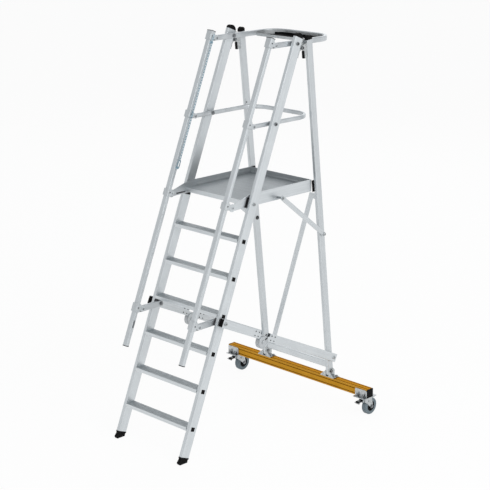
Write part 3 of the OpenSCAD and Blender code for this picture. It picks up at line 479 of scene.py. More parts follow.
# %% Grey rubber
def grey_rubber(name):
    finish = Finish(name)
    mottle = finish.patches(0.02, 4.0, 0.6)
    grain = finish.patches(0.0012)
    mix = (0.7 * mottle + 0.3 * grain).spread()
    colour = mix.between((0.118, 0.155, 0.175), (0.185, 0.225, 0.25))
    roughness = 0.5 + 0.15 * mottle
    finish.constant("Specular IOR Level", 0.25)
    return finish.paint(colour, roughness, metallic=0.0, height=grain, depth=0.0004, strength=0.2)


tyre_rubber = grey_rubber("tyre_rubber")

# %% [markdown]
# Each solid takes the finish of the real piece. A table of names keeps that in one place.

# %% Dress the solids
dress = {
    stile_aluminium: ["front_stile_left", "front_stile_right"],
    handrail_aluminium: ["handrail_left", "handrail_right"],
    clamp_aluminium: ["left_rail_clamps", "right_rail_clamps"],
    rear_aluminium: ["rear_stile_left", "rear_stile_right"],
    stay_aluminium: ["stay_front_left", "stay_front_right", "stay_rear_left", "stay_rear_right"],
    brace_aluminium: ["platform_brace_left", "platform_brace_right", "rear_diagonal_brace"],
    level_aluminium: ["platform_plate_left", "platform_plate_right"],
    arm_aluminium: ["lower_arm_left", "lower_arm_right"],
    cross_aluminium: ["rear_cross_member"],
    board_aluminium: ["platform_rear_board"],
    tread_aluminium: ["tread_1", "tread_2", "tread_3", "tread_4", "tread_5", "tread_6"],
    deck_aluminium: ["platform_deck"],
    rail_aluminium: ["top_hoop", "knee_hoop"],
    black_plastic: ["tread_plugs", "front_feet", "front_caps", "rear_caps", "stay_spacers",
                    "rear_buffers", "beam_end_caps", "brake_pedal_left", "brake_pedal_right"],
    cap_plastic: ["left_rail_caps", "right_rail_caps"],
    pad_plastic: ["pivot_washers"],
    tray_sheet: ["tool_tray"],
    chain_zinc: ["safety_chain", "chain_hook"],
    hub_plastic: ["castor_hub_left", "castor_hub_right"],
    zinc_steel: ["front_hinge_plates", "rear_hinge_plates", "beam_brackets", "castor_saddles",
                 "castor_fork_left", "castor_fork_right"],
    bolt_steel: ["pivot_bolts", "brace_pins", "beam_bolts", "hinge_lock_pins"],
    gold_aluminium: ["castor_beam"],
    tyre_rubber: ["castor_tyre_left", "castor_tyre_right"],
}
dressed = set()
for finish_material, names in dress.items():
    for name in names:
        data = frame["nodes"][name].data
        data.materials.clear()
        data.materials.append(finish_material)
        dressed.add(name)
print("bare solids:", sorted(set(frame["nodes"]) - dressed))

# %% [markdown]
# Now the small fittings. Each is shaped once around its own axis, then stamped wherever the ladder has
# one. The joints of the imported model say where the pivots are, and the two lines along which the front
# and rear stiles lean give most other places. A reach is a distance from the ladder's middle plane.

# %% Places
SIDES = {"left": -1.0, "right": 1.0}
WAYS = (-1.0, 1.0)
rear_lean = math.radians(rear_degrees)
rear_offset = 0.0735


def on_rear_line(z):
    hinge = pivot["rear_fold"]
    run = (hinge.z + rear_offset * math.sin(rear_lean) - z) / math.cos(rear_lean)
    return Vector((0.0, hinge.y + rear_offset * math.cos(rear_lean) + run * math.sin(rear_lean), z))


def outward(point, side, reach):
    return Vector((side * reach, point.y, point.z))


brace_foot = on_rear_line(1.325)
stay_foot = on_rear_line(0.378)
print("pivots:", len(pivot), "stay foot at", [round(v, 3) for v in stay_foot])

# %% [markdown]
# The outer face of a turned fitting looks up Z, so turning Z to a direction sets it on any face. Most
# of them come in pairs: one on the left and one on the right of the ladder, or one on each of the two
# faces of a piece.

# %% Where a pattern stands
def turned_to(place, axis):
    return Matrix.Translation(place) @ Vector(axis).to_track_quat("Z", "Y").to_matrix().to_4x4()


def both_sides(point, reach, facing=1.0):
    return [turned_to(outward(point, side, reach), (side * facing, 0.0, 0.0)) for side in WAYS]


def beside(point, way, out):
    return point + Vector((way * out, 0.0, 0.0))


def both_faces(point, out):
    return [turned_to(beside(point, way, out), (way, 0.0, 0.0)) for way in WAYS]


# %% [markdown]
# Four helpers do the work: one copies a pattern into a bigger shape, one writes a shape into a mesh,
# one closes a pattern before that, and one makes the finished piece and lets it ride on its body.

# %% Helpers
def stamp(shape, pattern, places):
    for place in places:
        before = len(shape.verts)
        shape.from_mesh(pattern)
        shape.verts.ensure_lookup_table()
        bmesh.ops.transform(shape, matrix=place, verts=shape.verts[before:])


def written(shape, name):
    mesh = bpy.data.meshes.new(name)
    shape.to_mesh(mesh)
    shape.free()
    return mesh


def as_pattern(shape):
    bmesh.ops.remove_doubles(shape, verts=shape.verts, dist=0.00001)
    bmesh.ops.recalc_face_normals(shape, faces=shape.faces)
    return written(shape, "pattern")


def keep(name, pattern, places, body, finish):
    shape = bmesh.new()
    stamp(shape, pattern, places)
    mesh = written(shape, name)
    for face in mesh.polygons:
        face.use_smooth = True
    mesh.set_sharp_from_angle(angle=math.radians(38.0))
    mesh.materials.append(finish)
    piece = bpy.data.objects.new(name, mesh)
    scene.collection.objects.link(piece)
    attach(piece, body)
    print(name, "has", len(mesh.polygons), "faces and rides on", body)


# %% [markdown]
# Most fittings are either turned, like a bolt head, or moulded blocks with rounded edges. A turned one
# is a short profile spun round Z. The profile starts and ends on the axis, or where it began, so that
# the spin closes it. A moulded one is a cube that is stretched and bevelled.

# %% Turned and moulded patterns
def turned(points, segments=28):
    shape = bmesh.new()
    line = [shape.verts.new((radius, 0.0, rise)) for radius, rise in points]
    edges = [shape.edges.new(pair) for pair in zip(line, line[1:])]
    bmesh.ops.spin(shape, geom=line + edges, cent=(0.0, 0.0, 0.0), axis=Z_AXIS,
                   dvec=(0.0, 0.0, 0.0), angle=math.tau, steps=segments, use_merge=True)
    return as_pattern(shape)


def block(size):
    shape = bmesh.new()
    bmesh.ops.create_cube(shape, size=1.0)
    bmesh.ops.scale(shape, vec=size, verts=shape.verts)
    return shape


def moulded(size, round_by):
    shape = block(size)
    bmesh.ops.bevel(shape, geom=shape.edges[:], offset=round_by, affect="EDGES", segments=2,
                    profile=0.5, material=-1)
    return as_pattern(shape)


def bolt_head(tall):
    radius = 0.0108
    return turned([(0.0, 0.0008), (radius * 0.55, 0.0008), (radius * 0.6, 0.0016),
                   (radius * 0.82, 0.0016), (radius * 0.96, 0.0006), (radius, -0.0008),
                   (radius, 0.0015 - tall), (radius * 1.2, 0.0015 - tall),
                   (radius * 1.2, 0.0001 - tall), (0.0, 0.0001 - tall)])


tall_head = bolt_head(0.007)
flat_head = bolt_head(0.003)
button = turned([(0.0, 0.0026), (0.003, 0.0024), (0.0054, 0.0016), (0.0059, 0.0006), (0.0, 0.0004)])
print("a bolt head has", len(tall_head.polygons), "faces")

# %% [markdown]
# Bolts: every pivot ends in a turned head with a hollow and a button that fills the hollow. The rail
# and hinge bolts have black buttons. The bolts of platform, stays and braces have brighter heads and
# plain steel buttons. Heads that the front section carries are joined by kind. The ends of stays and
# braces have their own, because each rides on another body.

# %% Bolt heads
def pivots_at(reaches, facing=1.0):
    return [spot for name, reach in reaches.items() for spot in both_sides(pivot[name], reach, facing)]


dark_heads = pivots_at({"top_rail_fold": 0.337, "knee_rail_fold": 0.337, "rear_fold": 0.3337})
bright_heads = pivots_at({"platform_fold": 0.337, "stay_front_right_swing": 0.3756})
keep("rail_bolt_heads", tall_head, dark_heads, "front_section", bolt_steel)
keep("rail_bolt_buttons", button, dark_heads, "front_section", black_plastic)
keep("bar_bolt_heads", tall_head, bright_heads, "front_section", zinc_steel)
keep("bar_bolt_buttons", button, bright_heads, "front_section", bolt_steel)

bracket_bolt = on_rear_line(0.2616)
bracket_reach = 0.3421
bracket_heads = both_sides(bracket_bolt, bracket_reach)
keep("bracket_bolt_heads", tall_head, bracket_heads, "rear_frame", bolt_steel)

stay_foot_reach = 0.375
brace_foot_reach = 0.357
brace_pin_reach = 0.3536
for word, side in SIDES.items():
    brace_pin = pivot[f"platform_brace_{word}_swing"]
    ends = (("stay_foot", outward(stay_foot, side, stay_foot_reach), tall_head, f"stay_rear_{word}"),
            ("brace_foot", outward(brace_foot, side, brace_foot_reach), tall_head,
             f"platform_brace_{word}"),
            ("brace_pin", outward(brace_pin, side, brace_pin_reach), flat_head, "platform"))
    for name, place, head, body in ends:
        spot = [turned_to(place, (side, 0.0, 0.0))]
        keep(f"{name}_head_{word}", head, spot, body, zinc_steel)
        keep(f"{name}_button_{word}", button, spot, body, bolt_steel)

# %% [markdown]
# Nuts: six sides with a chamfered top, a washer under them and the end of the thread above. They close
# the bolts on the inner side, and the castor axles.

# %% Hexagon nuts
def hexagon_nut(across, tall):
    shape = bmesh.new()
    bmesh.ops.create_cone(shape, cap_ends=True, segments=6, radius1=across / math.sqrt(3.0),
                          radius2=across / math.sqrt(3.0), depth=tall,
                          matrix=Matrix.Translation((0.0, 0.0, tall / 2.0)))
    rim = [e for e in shape.edges if all(v.co.z > tall * 0.9 for v in e.verts)]
    bmesh.ops.bevel(shape, geom=rim, offset=across * 0.07, affect="EDGES", segments=2, profile=0.5,
                    material=-1)
    washer = turned([(0.0, 0.0014), (across * 0.7, 0.0014), (across * 0.74, 0.0009),
                     (across * 0.74, 0.0), (0.0, 0.0)])
    thread = turned([(0.0, tall * 1.3), (across * 0.2, tall * 1.3), (across * 0.26, tall * 1.2),
                     (across * 0.26, tall * 0.9), (0.0, tall * 0.9)], 20)
    stamp(shape, washer, [Matrix.Identity(4)])
    stamp(shape, thread, [Matrix.Identity(4)])
    return written(shape, "pattern")


INWARD = -1.0
pivot_spots = pivots_at({"top_rail_fold": 0.2684, "knee_rail_fold": 0.2694,
                         "stay_front_right_swing": 0.2684, "rear_fold": 0.3083}, INWARD)
keep("pivot_nuts", hexagon_nut(0.0206, 0.0082), pivot_spots, "front_section", bolt_steel)

rear_inner_reach = 0.3049
rear_spots = (both_sides(brace_foot, rear_inner_reach, INWARD)
              + both_sides(stay_foot, rear_inner_reach, INWARD))
keep("rear_stile_nuts", hexagon_nut(0.021, 0.009), rear_spots, "rear_frame", dark_steel)

cheek_face = 0.0255
axle_nut = hexagon_nut(0.0206, 0.0064)
for word in SIDES:
    spots = both_faces(pivot[f"wheel_{word}_spin"], cheek_face)
    keep(f"axle_nuts_{word}", axle_nut, spots, f"castor_{word}", bolt_steel)

# %% [markdown]
# The knee of each stay is a disc with a raised ring, a boss in the middle and a dark latch towards its
# rim. The bar's own direction runs from the front pivot to the stay's foot, and the latch is turned
# from that direction.

# %% Knee discs
def set_in_axes(x, y, z):
    return Matrix((x, y, z)).transposed().to_4x4()


stay_top = pivot["stay_front_right_swing"]
stay_along = Vector((0.0, stay_foot.y - stay_top.y, stay_foot.z - stay_top.z)).normalized()
stay_up = Vector((0.0, -stay_along.z, stay_along.y))
disc_ring = turned([(0.0365, -0.001), (0.0365, 0.0016), (0.0376, 0.0026), (0.0414, 0.0026),
                    (0.0425, 0.0016), (0.0425, -0.001), (0.0365, -0.001)], 48)
disc_boss = turned([(0.0, 0.0036), (0.0052, 0.0036), (0.006, 0.0028), (0.0118, 0.0028),
                    (0.0135, 0.0014), (0.0135, -0.001), (0.0, -0.001)], 32)
disc_face = 0.016
boss_face = 0.018
latch_bar = moulded((0.0055, 0.026, 0.006), 0.0015)
latch_angle = math.radians(58.0)
latch_reach = 0.034
latch_way = stay_along * math.cos(latch_angle) + stay_up * math.sin(latch_angle)
latch_turn = set_in_axes(latch_way.cross(X_AXIS), latch_way, X_AXIS)
for word in SIDES:
    knee = pivot[f"stay_rear_{word}_swing"]
    body = f"stay_rear_{word}"
    rings = both_faces(knee, disc_face)
    keep(f"knee_rings_{word}", disc_ring, rings, body, stay_aluminium)
    bosses = both_faces(knee, boss_face)
    keep(f"knee_bosses_{word}", disc_boss, bosses, body, stay_aluminium)
    latches = [Matrix.Translation(beside(knee + latch_way * latch_reach, way, boss_face)) @ latch_turn
               for way in WAYS]
    keep(f"knee_latches_{word}", latch_bar, latches, body, cap_plastic)

# %% [markdown]
# Dark rivets hold the disc's straps to the bars, so they stand in rows along the bar's direction. Each
# half of a stay has four on either face, in two rows of two. The strap of the front half lies deeper
# than that of the rear half.

# %% Knee rivets
rivet = turned([(0.0, 0.0034), (0.0024, 0.0031), (0.0042, 0.0021), (0.0052, 0.0006),
                (0.0052, -0.0008), (0.0, -0.0008)], 14)
strap_middle = 0.042
row_offsets = (-0.015, 0.015)
rivets_along = (0.0675, 0.1025)
strap_halves = (("rear", 1.0, disc_face), ("front", -1.0, 0.013))
for word in SIDES:
    knee = pivot[f"stay_rear_{word}_swing"]
    for half, toward, face in strap_halves:
        points = [knee + stay_up * (strap_middle + row) + stay_along * toward * along
                  for along in rivets_along for row in row_offsets]
        spots = [spot for point in points for spot in both_faces(point, face)]
        keep(f"knee_{half}_rivets_{word}", rivet, spots, f"stay_{half}_{word}", dark_steel)

# %% [markdown]
# The front ends of the stays are open tubes. Each is closed with a black plug, a block with rounded
# edges inside the walls of the tube, and three ribs stand on its face. Its axes are the bar's own axes.

# %% Stay end plugs
stay_axes = set_in_axes(X_AXIS, stay_along, stay_up)
stay_plug = moulded((0.0236, 0.009, 0.0530), 0.0015)
plug_ahead = 0.0302
plug_rib = moulded((0.0036, 0.003, 0.046), 0.001)
plug_rib_step = 0.007
plug_rib_ahead = 0.0048
for word in SIDES:
    bar_end = pivot[f"stay_front_{word}_swing"] - stay_along * plug_ahead
    plug_spot = Matrix.Translation(bar_end) @ stay_axes
    body = f"stay_front_{word}"
    keep(f"stay_end_plug_{word}", stay_plug, [plug_spot], body, black_plastic)
    ribs = [plug_spot @ Matrix.Translation((plug_rib_step * row, -plug_rib_ahead, 0.0))
            for row in (-1.0, 0.0, 1.0)]
    keep(f"stay_plug_ribs_{word}", plug_rib, ribs, body, hub_plastic)

# %% [markdown]
# Castor wheels: ribs stiffen the hub and a bead runs round each side of the tyre. Each cheek of the
# fork has a rivet, and nuts close the two rear bolts of the plate under the beam.

# %% Wheels and forks
hub_rib = moulded((0.0065, 0.0042, 0.0175), 0.0012)
hub_rib_count = 8
hub_rib_radius = 0.0217
hub_face = 0.0152
tyre_bead = turned([(0.0482, -0.0005), (0.0488, 0.0008), (0.0505, 0.0012), (0.0522, 0.0008),
                    (0.0528, -0.0005), (0.0482, -0.0005)], 48)
bead_face = 0.0185
cheek_rivet = Vector((0.0, 0.7228, 0.111))
for word in SIDES:
    axle = pivot[f"wheel_{word}_spin"]
    ribs = [Matrix.Translation(axle) @ Matrix.Rotation(math.tau * step / hub_rib_count, 4, "X")
            @ Matrix.Translation((way * hub_face, 0.0, hub_rib_radius))
            for way in WAYS for step in range(hub_rib_count)]
    keep(f"hub_ribs_{word}", hub_rib, ribs, f"wheel_{word}", hub_plastic)
    beads = both_faces(axle, bead_face)
    keep(f"tyre_beads_{word}", tyre_bead, beads, f"wheel_{word}", tyre_rubber)
    cheek_spots = both_faces(outward(cheek_rivet, 1.0, axle.x), cheek_face)
    keep(f"fork_rivets_{word}", rivet, cheek_spots, f"castor_{word}", bolt_steel)

plate_middle = Vector((0.645, 0.749, 0.1546))
plate_bolt_offset = 0.0285
plate_nuts = [Matrix.Translation((side * plate_middle.x + row * plate_bolt_offset, *plate_middle.yz))
              for side in WAYS for row in WAYS]
keep("castor_plate_nuts", hexagon_nut(0.013, 0.008), plate_nuts, "rear_frame", bolt_steel)

# %% [markdown]
# The brake pedal has two ridges for the shoe and a plate between them. Their places are measured from
# the pin that the pedal tips on.

# %% Pedals
pedal_ridge = moulded((0.027, 0.0034, 0.003), 0.001)
ridge_places = (Vector((0.0, -0.014, 0.0045)), Vector((0.0, -0.041, 0.0045)))
pedal_plate = moulded((0.019, 0.022, 0.0022), 0.0008)
plate_place = Vector((0.0, -0.0275, 0.0046))
for word in SIDES:
    tip = pivot[f"brake_{word}_tip"]
    ridges = [Matrix.Translation(tip + place) for place in ridge_places]
    keep(f"pedal_ridges_{word}", pedal_ridge, ridges, f"brake_{word}", black_plastic)
    plate_spot = [Matrix.Translation(tip + plate_place)]
    keep(f"pedal_plate_{word}", pedal_plate, plate_spot, f"brake_{word}", zinc_steel)

# %% [markdown]
# A bent wire on the pedal is lifted with the toe to let the brake off. It is one round section that is
# pulled straight, spun through a quarter turn, pulled across, spun again and pulled back. That is how a
# wire bender works too, and the bends keep the round section.

# %% Pedal wire
def only(geometry, kind):
    return [g for g in geometry if isinstance(g, kind)]


def bent_wire(run, bend, across, thick):
    shape = bmesh.new()
    made = bmesh.ops.create_circle(shape, cap_ends=True, segments=10, radius=thick / 2.0,
                                   matrix=Matrix.Rotation(math.radians(90.0), 4, "X"))
    bmesh.ops.translate(shape, verts=made["verts"], vec=(-across / 2.0, 0.0, 0.0))
    end = made["verts"][0].link_faces[:]
    centre = Vector((-across / 2.0, 0.0, 0.0))
    heading = Vector((0.0, -1.0, 0.0))
    for length in (run, across - 2.0 * bend, run):
        grown = bmesh.ops.extrude_face_region(shape, geom=end, use_keep_orig=centre.y == 0.0)["geom"]
        end = only(grown, bmesh.types.BMFace)
        bmesh.ops.translate(shape, verts=only(grown, bmesh.types.BMVert), vec=heading * length)
        centre = centre + heading * length
        if heading.y > 0.0:
            break
        inward = Vector((-heading.y, heading.x, 0.0))
        spun = bmesh.ops.spin(shape, geom=end, cent=centre + inward * bend, axis=Z_AXIS,
                              dvec=(0.0, 0.0, 0.0), angle=math.radians(90.0), steps=6)
        end = only(spun["geom_last"], bmesh.types.BMFace)
        centre = centre + (inward + heading) * bend
        heading = inward
    return as_pattern(shape)


pedal_wire = bent_wire(run=0.040, bend=0.006, across=0.033, thick=0.003)
wire_place = Vector((0.0, -0.014, -0.001))
for word in SIDES:
    spot = [Matrix.Translation(pivot[f"brake_{word}_tip"] + wire_place)]
    keep(f"pedal_wire_{word}", pedal_wire, spot, f"brake_{word}", zinc_steel)

# %% [markdown]
# Platform: a folded lip runs along the floor's edges inside the kerbs, where the floor panel is fixed
# to the plates. It is three long blocks with rounded edges, pressed a hair into the plates.

# %% Platform lips
lip_thick = 0.0036
lip_tall = 0.018
lip_round = 0.0011
lip_inset = 0.0017
lip_lift = 0.0085
side_lip_less = 0.10
side_lip_back = 0.048
rear_lip_less = 0.006
deck_low, deck_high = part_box("platform_deck")
deck_run = deck_high[1] - deck_low[1]
deck_middle = (deck_low[1] + deck_high[1]) / 2.0
lip_height = deck_high[2] + lip_lift
side_lip = moulded((lip_thick, deck_run - side_lip_less, lip_tall), lip_round)
side_lip_reach = deck_high[0] - lip_inset
side_spots = [Matrix.Translation((side * side_lip_reach, deck_middle + side_lip_back, lip_height))
              for side in WAYS]
keep("platform_side_lips", side_lip, side_spots, "platform", board_aluminium)
rear_lip = moulded((2.0 * deck_high[0] - rear_lip_less, lip_thick, lip_tall), lip_round)
rear_spot = [Matrix.Translation((0.0, deck_high[1] - lip_inset, lip_height))]
keep("platform_rear_lip", rear_lip, rear_spot, "platform", board_aluminium)

# %% [markdown]
# In front of the floor the side plates are channels: a bright lip above and below, and shade between.
# Two thin bars make the lips, and a dark strip behind them is painted shade: a dark sheet standing in
# for the shade in the channel.

# %% Platform arms
arm_lip = moulded((0.005, 0.088, 0.0036), 0.0011)
arm_lip_rise = 0.0075
arm_shade = moulded((0.0016, 0.086, 0.012), 0.0005)
arm_middle = Vector((0.2918, -0.198, 1.6535))
arm_places = [outward(arm_middle, side, arm_middle.x) for side in WAYS]
lip_spots = [Matrix.Translation(place + Vector((0.0, 0.0, way * arm_lip_rise)))
             for place in arm_places for way in WAYS]
keep("platform_arm_lips", arm_lip, lip_spots, "platform", cross_aluminium)
shade_spots = [Matrix.Translation(place) for place in arm_places]
keep("platform_arm_shades", arm_shade, shade_spots, "platform", cap_plastic)

# %% [markdown]
# A black ribbed liner lies in the tool tray. Its rear corners follow the tray's round corners: the two
# upright rear edges of a flat block are bevelled with a radius that fits inside them. Then a narrow
# border of the top is inset, and its rear stretch is pulled up as a raised edge. The tray's ends stay
# bare metal.

# %% Tray liner
tray_low, tray_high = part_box("tool_tray")
mat_less = 0.009
mat_thick = 0.002
mat_lift = 0.0034
mat_corner = 0.124
mat_border = 0.0025
mat_edge_rise = 0.013
mat_size = Vector((2.0 * tray_high[0] - mat_less, tray_high[1] - tray_low[1] - mat_less, mat_thick))
mat_middle = Vector((0.0, (tray_low[1] + tray_high[1]) / 2.0, tray_low[2] + mat_lift))
mat_shape = block(mat_size)
rear_corners = [e for e in mat_shape.edges
                if all(v.co.y > 0.0 for v in e.verts) and e.verts[0].co.x == e.verts[1].co.x]
bmesh.ops.bevel(mat_shape, geom=rear_corners, offset=mat_corner, affect="EDGES", segments=14,
                profile=0.5, material=-1)
mat_top = [f for f in mat_shape.faces if f.normal.z > 0.9]
border = bmesh.ops.inset_region(mat_shape, faces=mat_top, thickness=mat_border, depth=0.0)["faces"]
rear_border = [f for f in border if f.calc_center_median().y > 0.3 * mat_size.y]
raised = bmesh.ops.extrude_face_region(mat_shape, geom=rear_border)["geom"]
bmesh.ops.translate(mat_shape, verts=only(raised, bmesh.types.BMVert), vec=(0.0, 0.0, mat_edge_rise))
mat_spot = [Matrix.Translation(mat_middle)]
keep("tray_liner", as_pattern(mat_shape), mat_spot, "top_rail", black_plastic)

mat_rib_less = 0.05
mat_rib = moulded((0.004, mat_size.y - mat_rib_less, 0.002), 0.0008)
mat_rib_step = 0.03
mat_rib_ahead = 0.012
mat_rib_lift = 0.0014
mat_ribs_each_way = 6
mat_rib_row = mat_middle + Vector((0.0, -mat_rib_ahead, mat_rib_lift))
mat_rib_spots = [Matrix.Translation(beside(mat_rib_row, step, mat_rib_step))
                 for step in range(-mat_ribs_each_way, mat_ribs_each_way + 1)]
keep("tray_liner_ribs", mat_rib, mat_rib_spots, "top_rail", black_plastic)

# %% [markdown]
# The feet have three moulded ribs on each side, which step back and up much as the stile leans.

# %% Foot ribs
foot_rib = moulded((0.003, 0.036, 0.0032), 0.0009)
foot_rib_out = 0.0122
foot_rib_first = Vector((stile_middle, -0.783, 0.012))
foot_rib_back = 0.005
foot_rib_up = 0.0105
foot_spots = [Matrix.Translation((side * foot_rib_first.x + way * foot_rib_out,
                                  foot_rib_first.y + foot_rib_back * step,
                                  foot_rib_first.z + foot_rib_up * step))
              for side in WAYS for way in WAYS for step in range(3)]
keep("foot_ribs", foot_rib, foot_spots, "front_section", black_plastic)

# %% [markdown]
# Each end of the beam is a framed face with one screw. Two insets make the frame: the first marks its
# width, and the second presses the middle in.

# %% Beam ends
beam_low, beam_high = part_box("beam_end_caps")
end_shape = block((0.061, 0.061, 0.004))
end_face = [f for f in end_shape.faces if f.normal.z > 0.9]
bmesh.ops.inset_region(end_shape, faces=end_face, thickness=0.006, depth=0.0)
bmesh.ops.inset_region(end_shape, faces=end_face, thickness=0.0015, depth=-0.0012)
end_plate = as_pattern(end_shape)
end_middle = Vector((0.0, (beam_low[1] + beam_high[1]) / 2.0, (beam_low[2] + beam_high[2]) / 2.0))
end_spots = both_faces(end_middle, beam_high[0])
keep("beam_end_plates", end_plate, end_spots, "rear_frame", black_plastic)
keep("beam_end_screws", rivet, end_spots, "rear_frame", black_plastic)

# %% [markdown]
# The end cap of each handrail shows a dark rim. At the top it lies over the whole clamp, and at the
# foot it is only a thin seal.

# %% Handrail ends
rail_seal = moulded((0.0386, 0.0286, 0.0016), 0.0005)
rail_collar = moulded((0.0494, 0.0394, 0.0056), 0.0014)
rail_length = 2.2310
rail_turn = Matrix.Rotation(-front_lean, 4, "X")
rail_up = Vector((0.0, math.sin(front_lean), math.cos(front_lean)))
for word, side in SIDES.items():
    foot = outward(rail_foot, side, rail_foot.x)
    top = foot + rail_up * rail_length
    foot_spot = [Matrix.Translation(foot) @ rail_turn]
    top_spot = [Matrix.Translation(top) @ rail_turn]
    keep(f"rail_seal_{word}", rail_seal, foot_spot, f"handrail_{word}", black_plastic)
    keep(f"rail_collar_{word}", rail_collar, top_spot, f"handrail_{word}", cap_plastic)

# %% [markdown]
# Handrail clamps: each carries a link on a pin with a domed head on both cheeks. The links are level,
# so the pins lie one link length in front of the pivots. The heads on the platform's lugs are set in
# deeper, because these lugs pass close to the stiles when the ladder folds. A dark screw on each side
# of the sleeve grips the rail; it sits on the rail's axis, square to the lean from the pin.

# %% Clamp heads
clamp_head = turned([(0.0, 0.0036), (0.0035, 0.0033), (0.0062, 0.0022), (0.0080, 0.0004),
                     (0.0080, -0.001), (0.0, -0.001)], 20)
clamp_reach = {"top_rail_fold": (0.28, 0.0185), "knee_rail_fold": (0.28, 0.0175),
               "platform_fold": (0.294, 0.0070), "lower_arm_left_fold": (0.28, 0.0185)}
link_length = 0.17
sleeve_face = 0.025
for word, side in SIDES.items():
    heads = []
    screws = []
    for name, (middle, out) in clamp_reach.items():
        pin = Vector((side * middle, pivot[name].y - link_length, pivot[name].z))
        heads += both_faces(pin, out)
        sleeve = pin + front_across * front_across.dot(rail_foot - pin)
        sleeve.x = side * rail_foot.x
        screws += both_faces(sleeve, sleeve_face)
    keep(f"clamp_heads_{word}", clamp_head, heads, f"handrail_{word}", bolt_steel)
    keep(f"clamp_screws_{word}", rivet, screws, f"handrail_{word}", dark_steel)

# %% [markdown]
# The last links of the safety chain lead up to the screw of the top clamp. A link is a wire bent round:
# a circle is spun half a turn, pulled straight down, spun again and pulled back to where it began.
# Every second link is turned a quarter about the chain's own line.

# %% Top links of the chain
def chain_link(wire, bend, straight):
    shape = bmesh.new()
    ring = bmesh.ops.create_circle(shape, segments=10, radius=wire)["verts"]
    bmesh.ops.translate(shape, verts=ring, vec=(bend, 0.0, straight / 2.0))
    end = ring + shape.edges[:]
    for rise in (1.0, -1.0):
        bend_middle = (0.0, 0.0, rise * straight / 2.0)
        spun = bmesh.ops.spin(shape, geom=end, cent=bend_middle, axis=Y_AXIS,
                              dvec=(0.0, 0.0, 0.0), angle=-math.pi, steps=10)
        last = only(spun["geom_last"], bmesh.types.BMEdge)
        drawn = bmesh.ops.extrude_edge_only(shape, edges=last)["geom"]
        moved = only(drawn, bmesh.types.BMVert)
        bmesh.ops.translate(shape, verts=moved, vec=(0.0, 0.0, -rise * straight))
        end = moved + [e for e in only(drawn, bmesh.types.BMEdge) if all(v in moved for v in e.verts)]
    return as_pattern(shape)


chain_pitch = 0.019
solid_chain_top = Vector((-0.246, 0.06045, 2.65685))
top_link = chain_link(wire=0.0015, bend=0.005, straight=0.012)
quarter = Matrix.Rotation(math.pi / 2.0, 4, "Z")
link_spots = [Matrix.Translation(solid_chain_top + rail_up * chain_pitch * step) @ rail_turn
              @ (quarter if step % 2 == 0 else Matrix.Identity(4)) for step in (1, 2, 3)]
keep("chain_top_links", top_link, link_spots, "handrail_left", chain_zinc)

# %% [markdown]
# Three last details: a spring catch low on the left handrail, a pair of rivets on the inner side of
# each rear stile beside the knee rail, and the black noses of the pads that hold the lower arms off the
# stiles. All of them are blocks or turned heads, placed along the leaning lines.

# %% Catch, rivets and pad noses
catch_bar = moulded((0.005, 0.010, 0.052), 0.0016)
catch_reach = 0.259
catch_up = 0.155
catch_place = outward(rail_foot + rail_up * catch_up, SIDES["left"], catch_reach)
catch_spot = [Matrix.Translation(catch_place) @ rail_turn]
keep("rail_catch_left", catch_bar, catch_spot, "handrail_left", bolt_steel)

rest_reach = 0.305
rest_ahead = Vector((0.0, -0.015, 0.0))
rest_heights = (2.1985, 2.1735)
rest_spots = [turned_to(outward(on_rear_line(z), side, rest_reach) + rest_ahead, (-side, 0.0, 0.0))
              for side in WAYS for z in rest_heights]
keep("rail_rest_rivets", rivet, rest_spots, "rear_frame", dark_steel)

pad_nose = moulded((0.012, 0.018, 0.050), 0.0015)
nose_reach = 0.2985
nose_ahead = 0.0285
nose_down = 0.004
nose_place = pivot["lower_arm_right_fold"] - front_across * nose_ahead - rail_up * nose_down
nose_spots = [Matrix.Translation(outward(nose_place, side, nose_reach)) @ rail_turn for side in WAYS]
keep("arm_pad_noses", pad_nose, nose_spots, "front_section", cap_plastic)

# %% [markdown]
# The floor is plain white. Seen by the camera, or mirrored in metal, it is lifted most of the way to
# pure white, so the background stays as clean as a catalogue page while the ladder's shadow is kept.

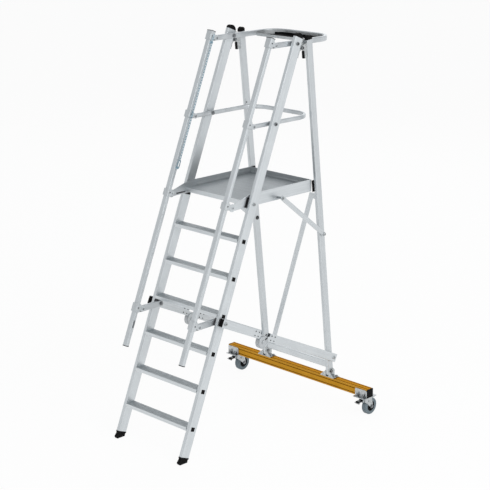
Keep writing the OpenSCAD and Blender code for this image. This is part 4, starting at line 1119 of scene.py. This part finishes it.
# %% Floor
floor_radius = 120.0
floor_lift = 0.93
floor_shape = bmesh.new()
bmesh.ops.create_circle(floor_shape, cap_ends=True, segments=96, radius=floor_radius)
floor_mesh = written(floor_shape, "studio_floor")
floor = bpy.data.objects.new("studio_floor", floor_mesh)
scene.collection.objects.link(floor)
floor_finish = bpy.data.materials.new("white_floor")
floor_finish.use_nodes = True
floor_tree = floor_finish.node_tree
floor_tree.nodes.remove(floor_tree.nodes["Principled BSDF"])
start = Flow(floor_tree)
cloth = start.node("ShaderNodeBsdfDiffuse", None, {"Color": (0.9, 0.9, 0.9, 1.0)})
glow = start.node("ShaderNodeEmission", None, {"Color": (1.0, 1.0, 1.0, 1.0), "Strength": 1.0})
seen = (start.node("ShaderNodeLightPath", out="Is Camera Ray")
        + start.node("ShaderNodeLightPath", out="Is Glossy Ray")
        + start.node("ShaderNodeLightPath", out="Is Transmission Ray"))
lift = seen.math("MINIMUM", seen, 1.0) * floor_lift
both = start.node("ShaderNodeMixShader", None, {0: lift, 1: cloth, 2: glow})
floor_tree.links.new(both.socket, floor_tree.nodes["Material Output"].inputs["Surface"])
floor_mesh.materials.append(floor_finish)
print("floor across:", 2.0 * floor_radius, "m")

# %% [markdown]
# The light is a soft studio: a pale surround, darker overhead so that treads and deck read darker
# than upright faces, and three large lamps that give the tubes a bright side and a quiet side. The
# camera itself sees plain white behind the ladder.

# %% Surround and lamps
surround = bpy.data.worlds.new("soft_studio")
surround.use_nodes = True
scene.world = surround
sky = Flow(surround.node_tree)
direction = sky.node("ShaderNodeTexCoord", out="Generated")
height = sky.node("ShaderNodeSeparateXYZ", None, {0: direction}, "Z")
shade = height.step(-0.05, 0.9).between((0.86, 0.87, 0.88), (0.46, 0.465, 0.47))
shade = sky.node("ShaderNodeLightPath", out="Is Camera Ray").over(shade, (1.0, 1.0, 1.0, 1.0))
backdrop = surround.node_tree.nodes["Background"]
surround.node_tree.links.new(shade.socket, backdrop.inputs["Color"])
backdrop.inputs["Strength"].default_value = 1.0

lamp_aim = Vector((0.0, 0.0, 1.3))


def lamp(name, place, width, power):
    data = bpy.data.lights.new(name, "AREA")
    data.shape = "RECTANGLE"
    data.size = width
    data.size_y = width
    data.energy = power
    lamp_object = bpy.data.objects.new(name, data)
    lamp_object.location = place
    lamp_object.rotation_euler = looking(place, lamp_aim)
    scene.collection.objects.link(lamp_object)


lamp("key_lamp", (8.0, -1.0, 6.5), 8.0, 460.0)
lamp("front_lamp", (2.5, -9.0, 5.0), 9.0, 120.0)
lamp("back_lamp", (-4.0, 7.0, 7.0), 8.0, 160.0)

# %% [markdown]
# The colours were chosen as numbers, so the picture shows them unchanged: the Standard view.

# %% View and end
scene.view_settings.view_transform = "Standard"
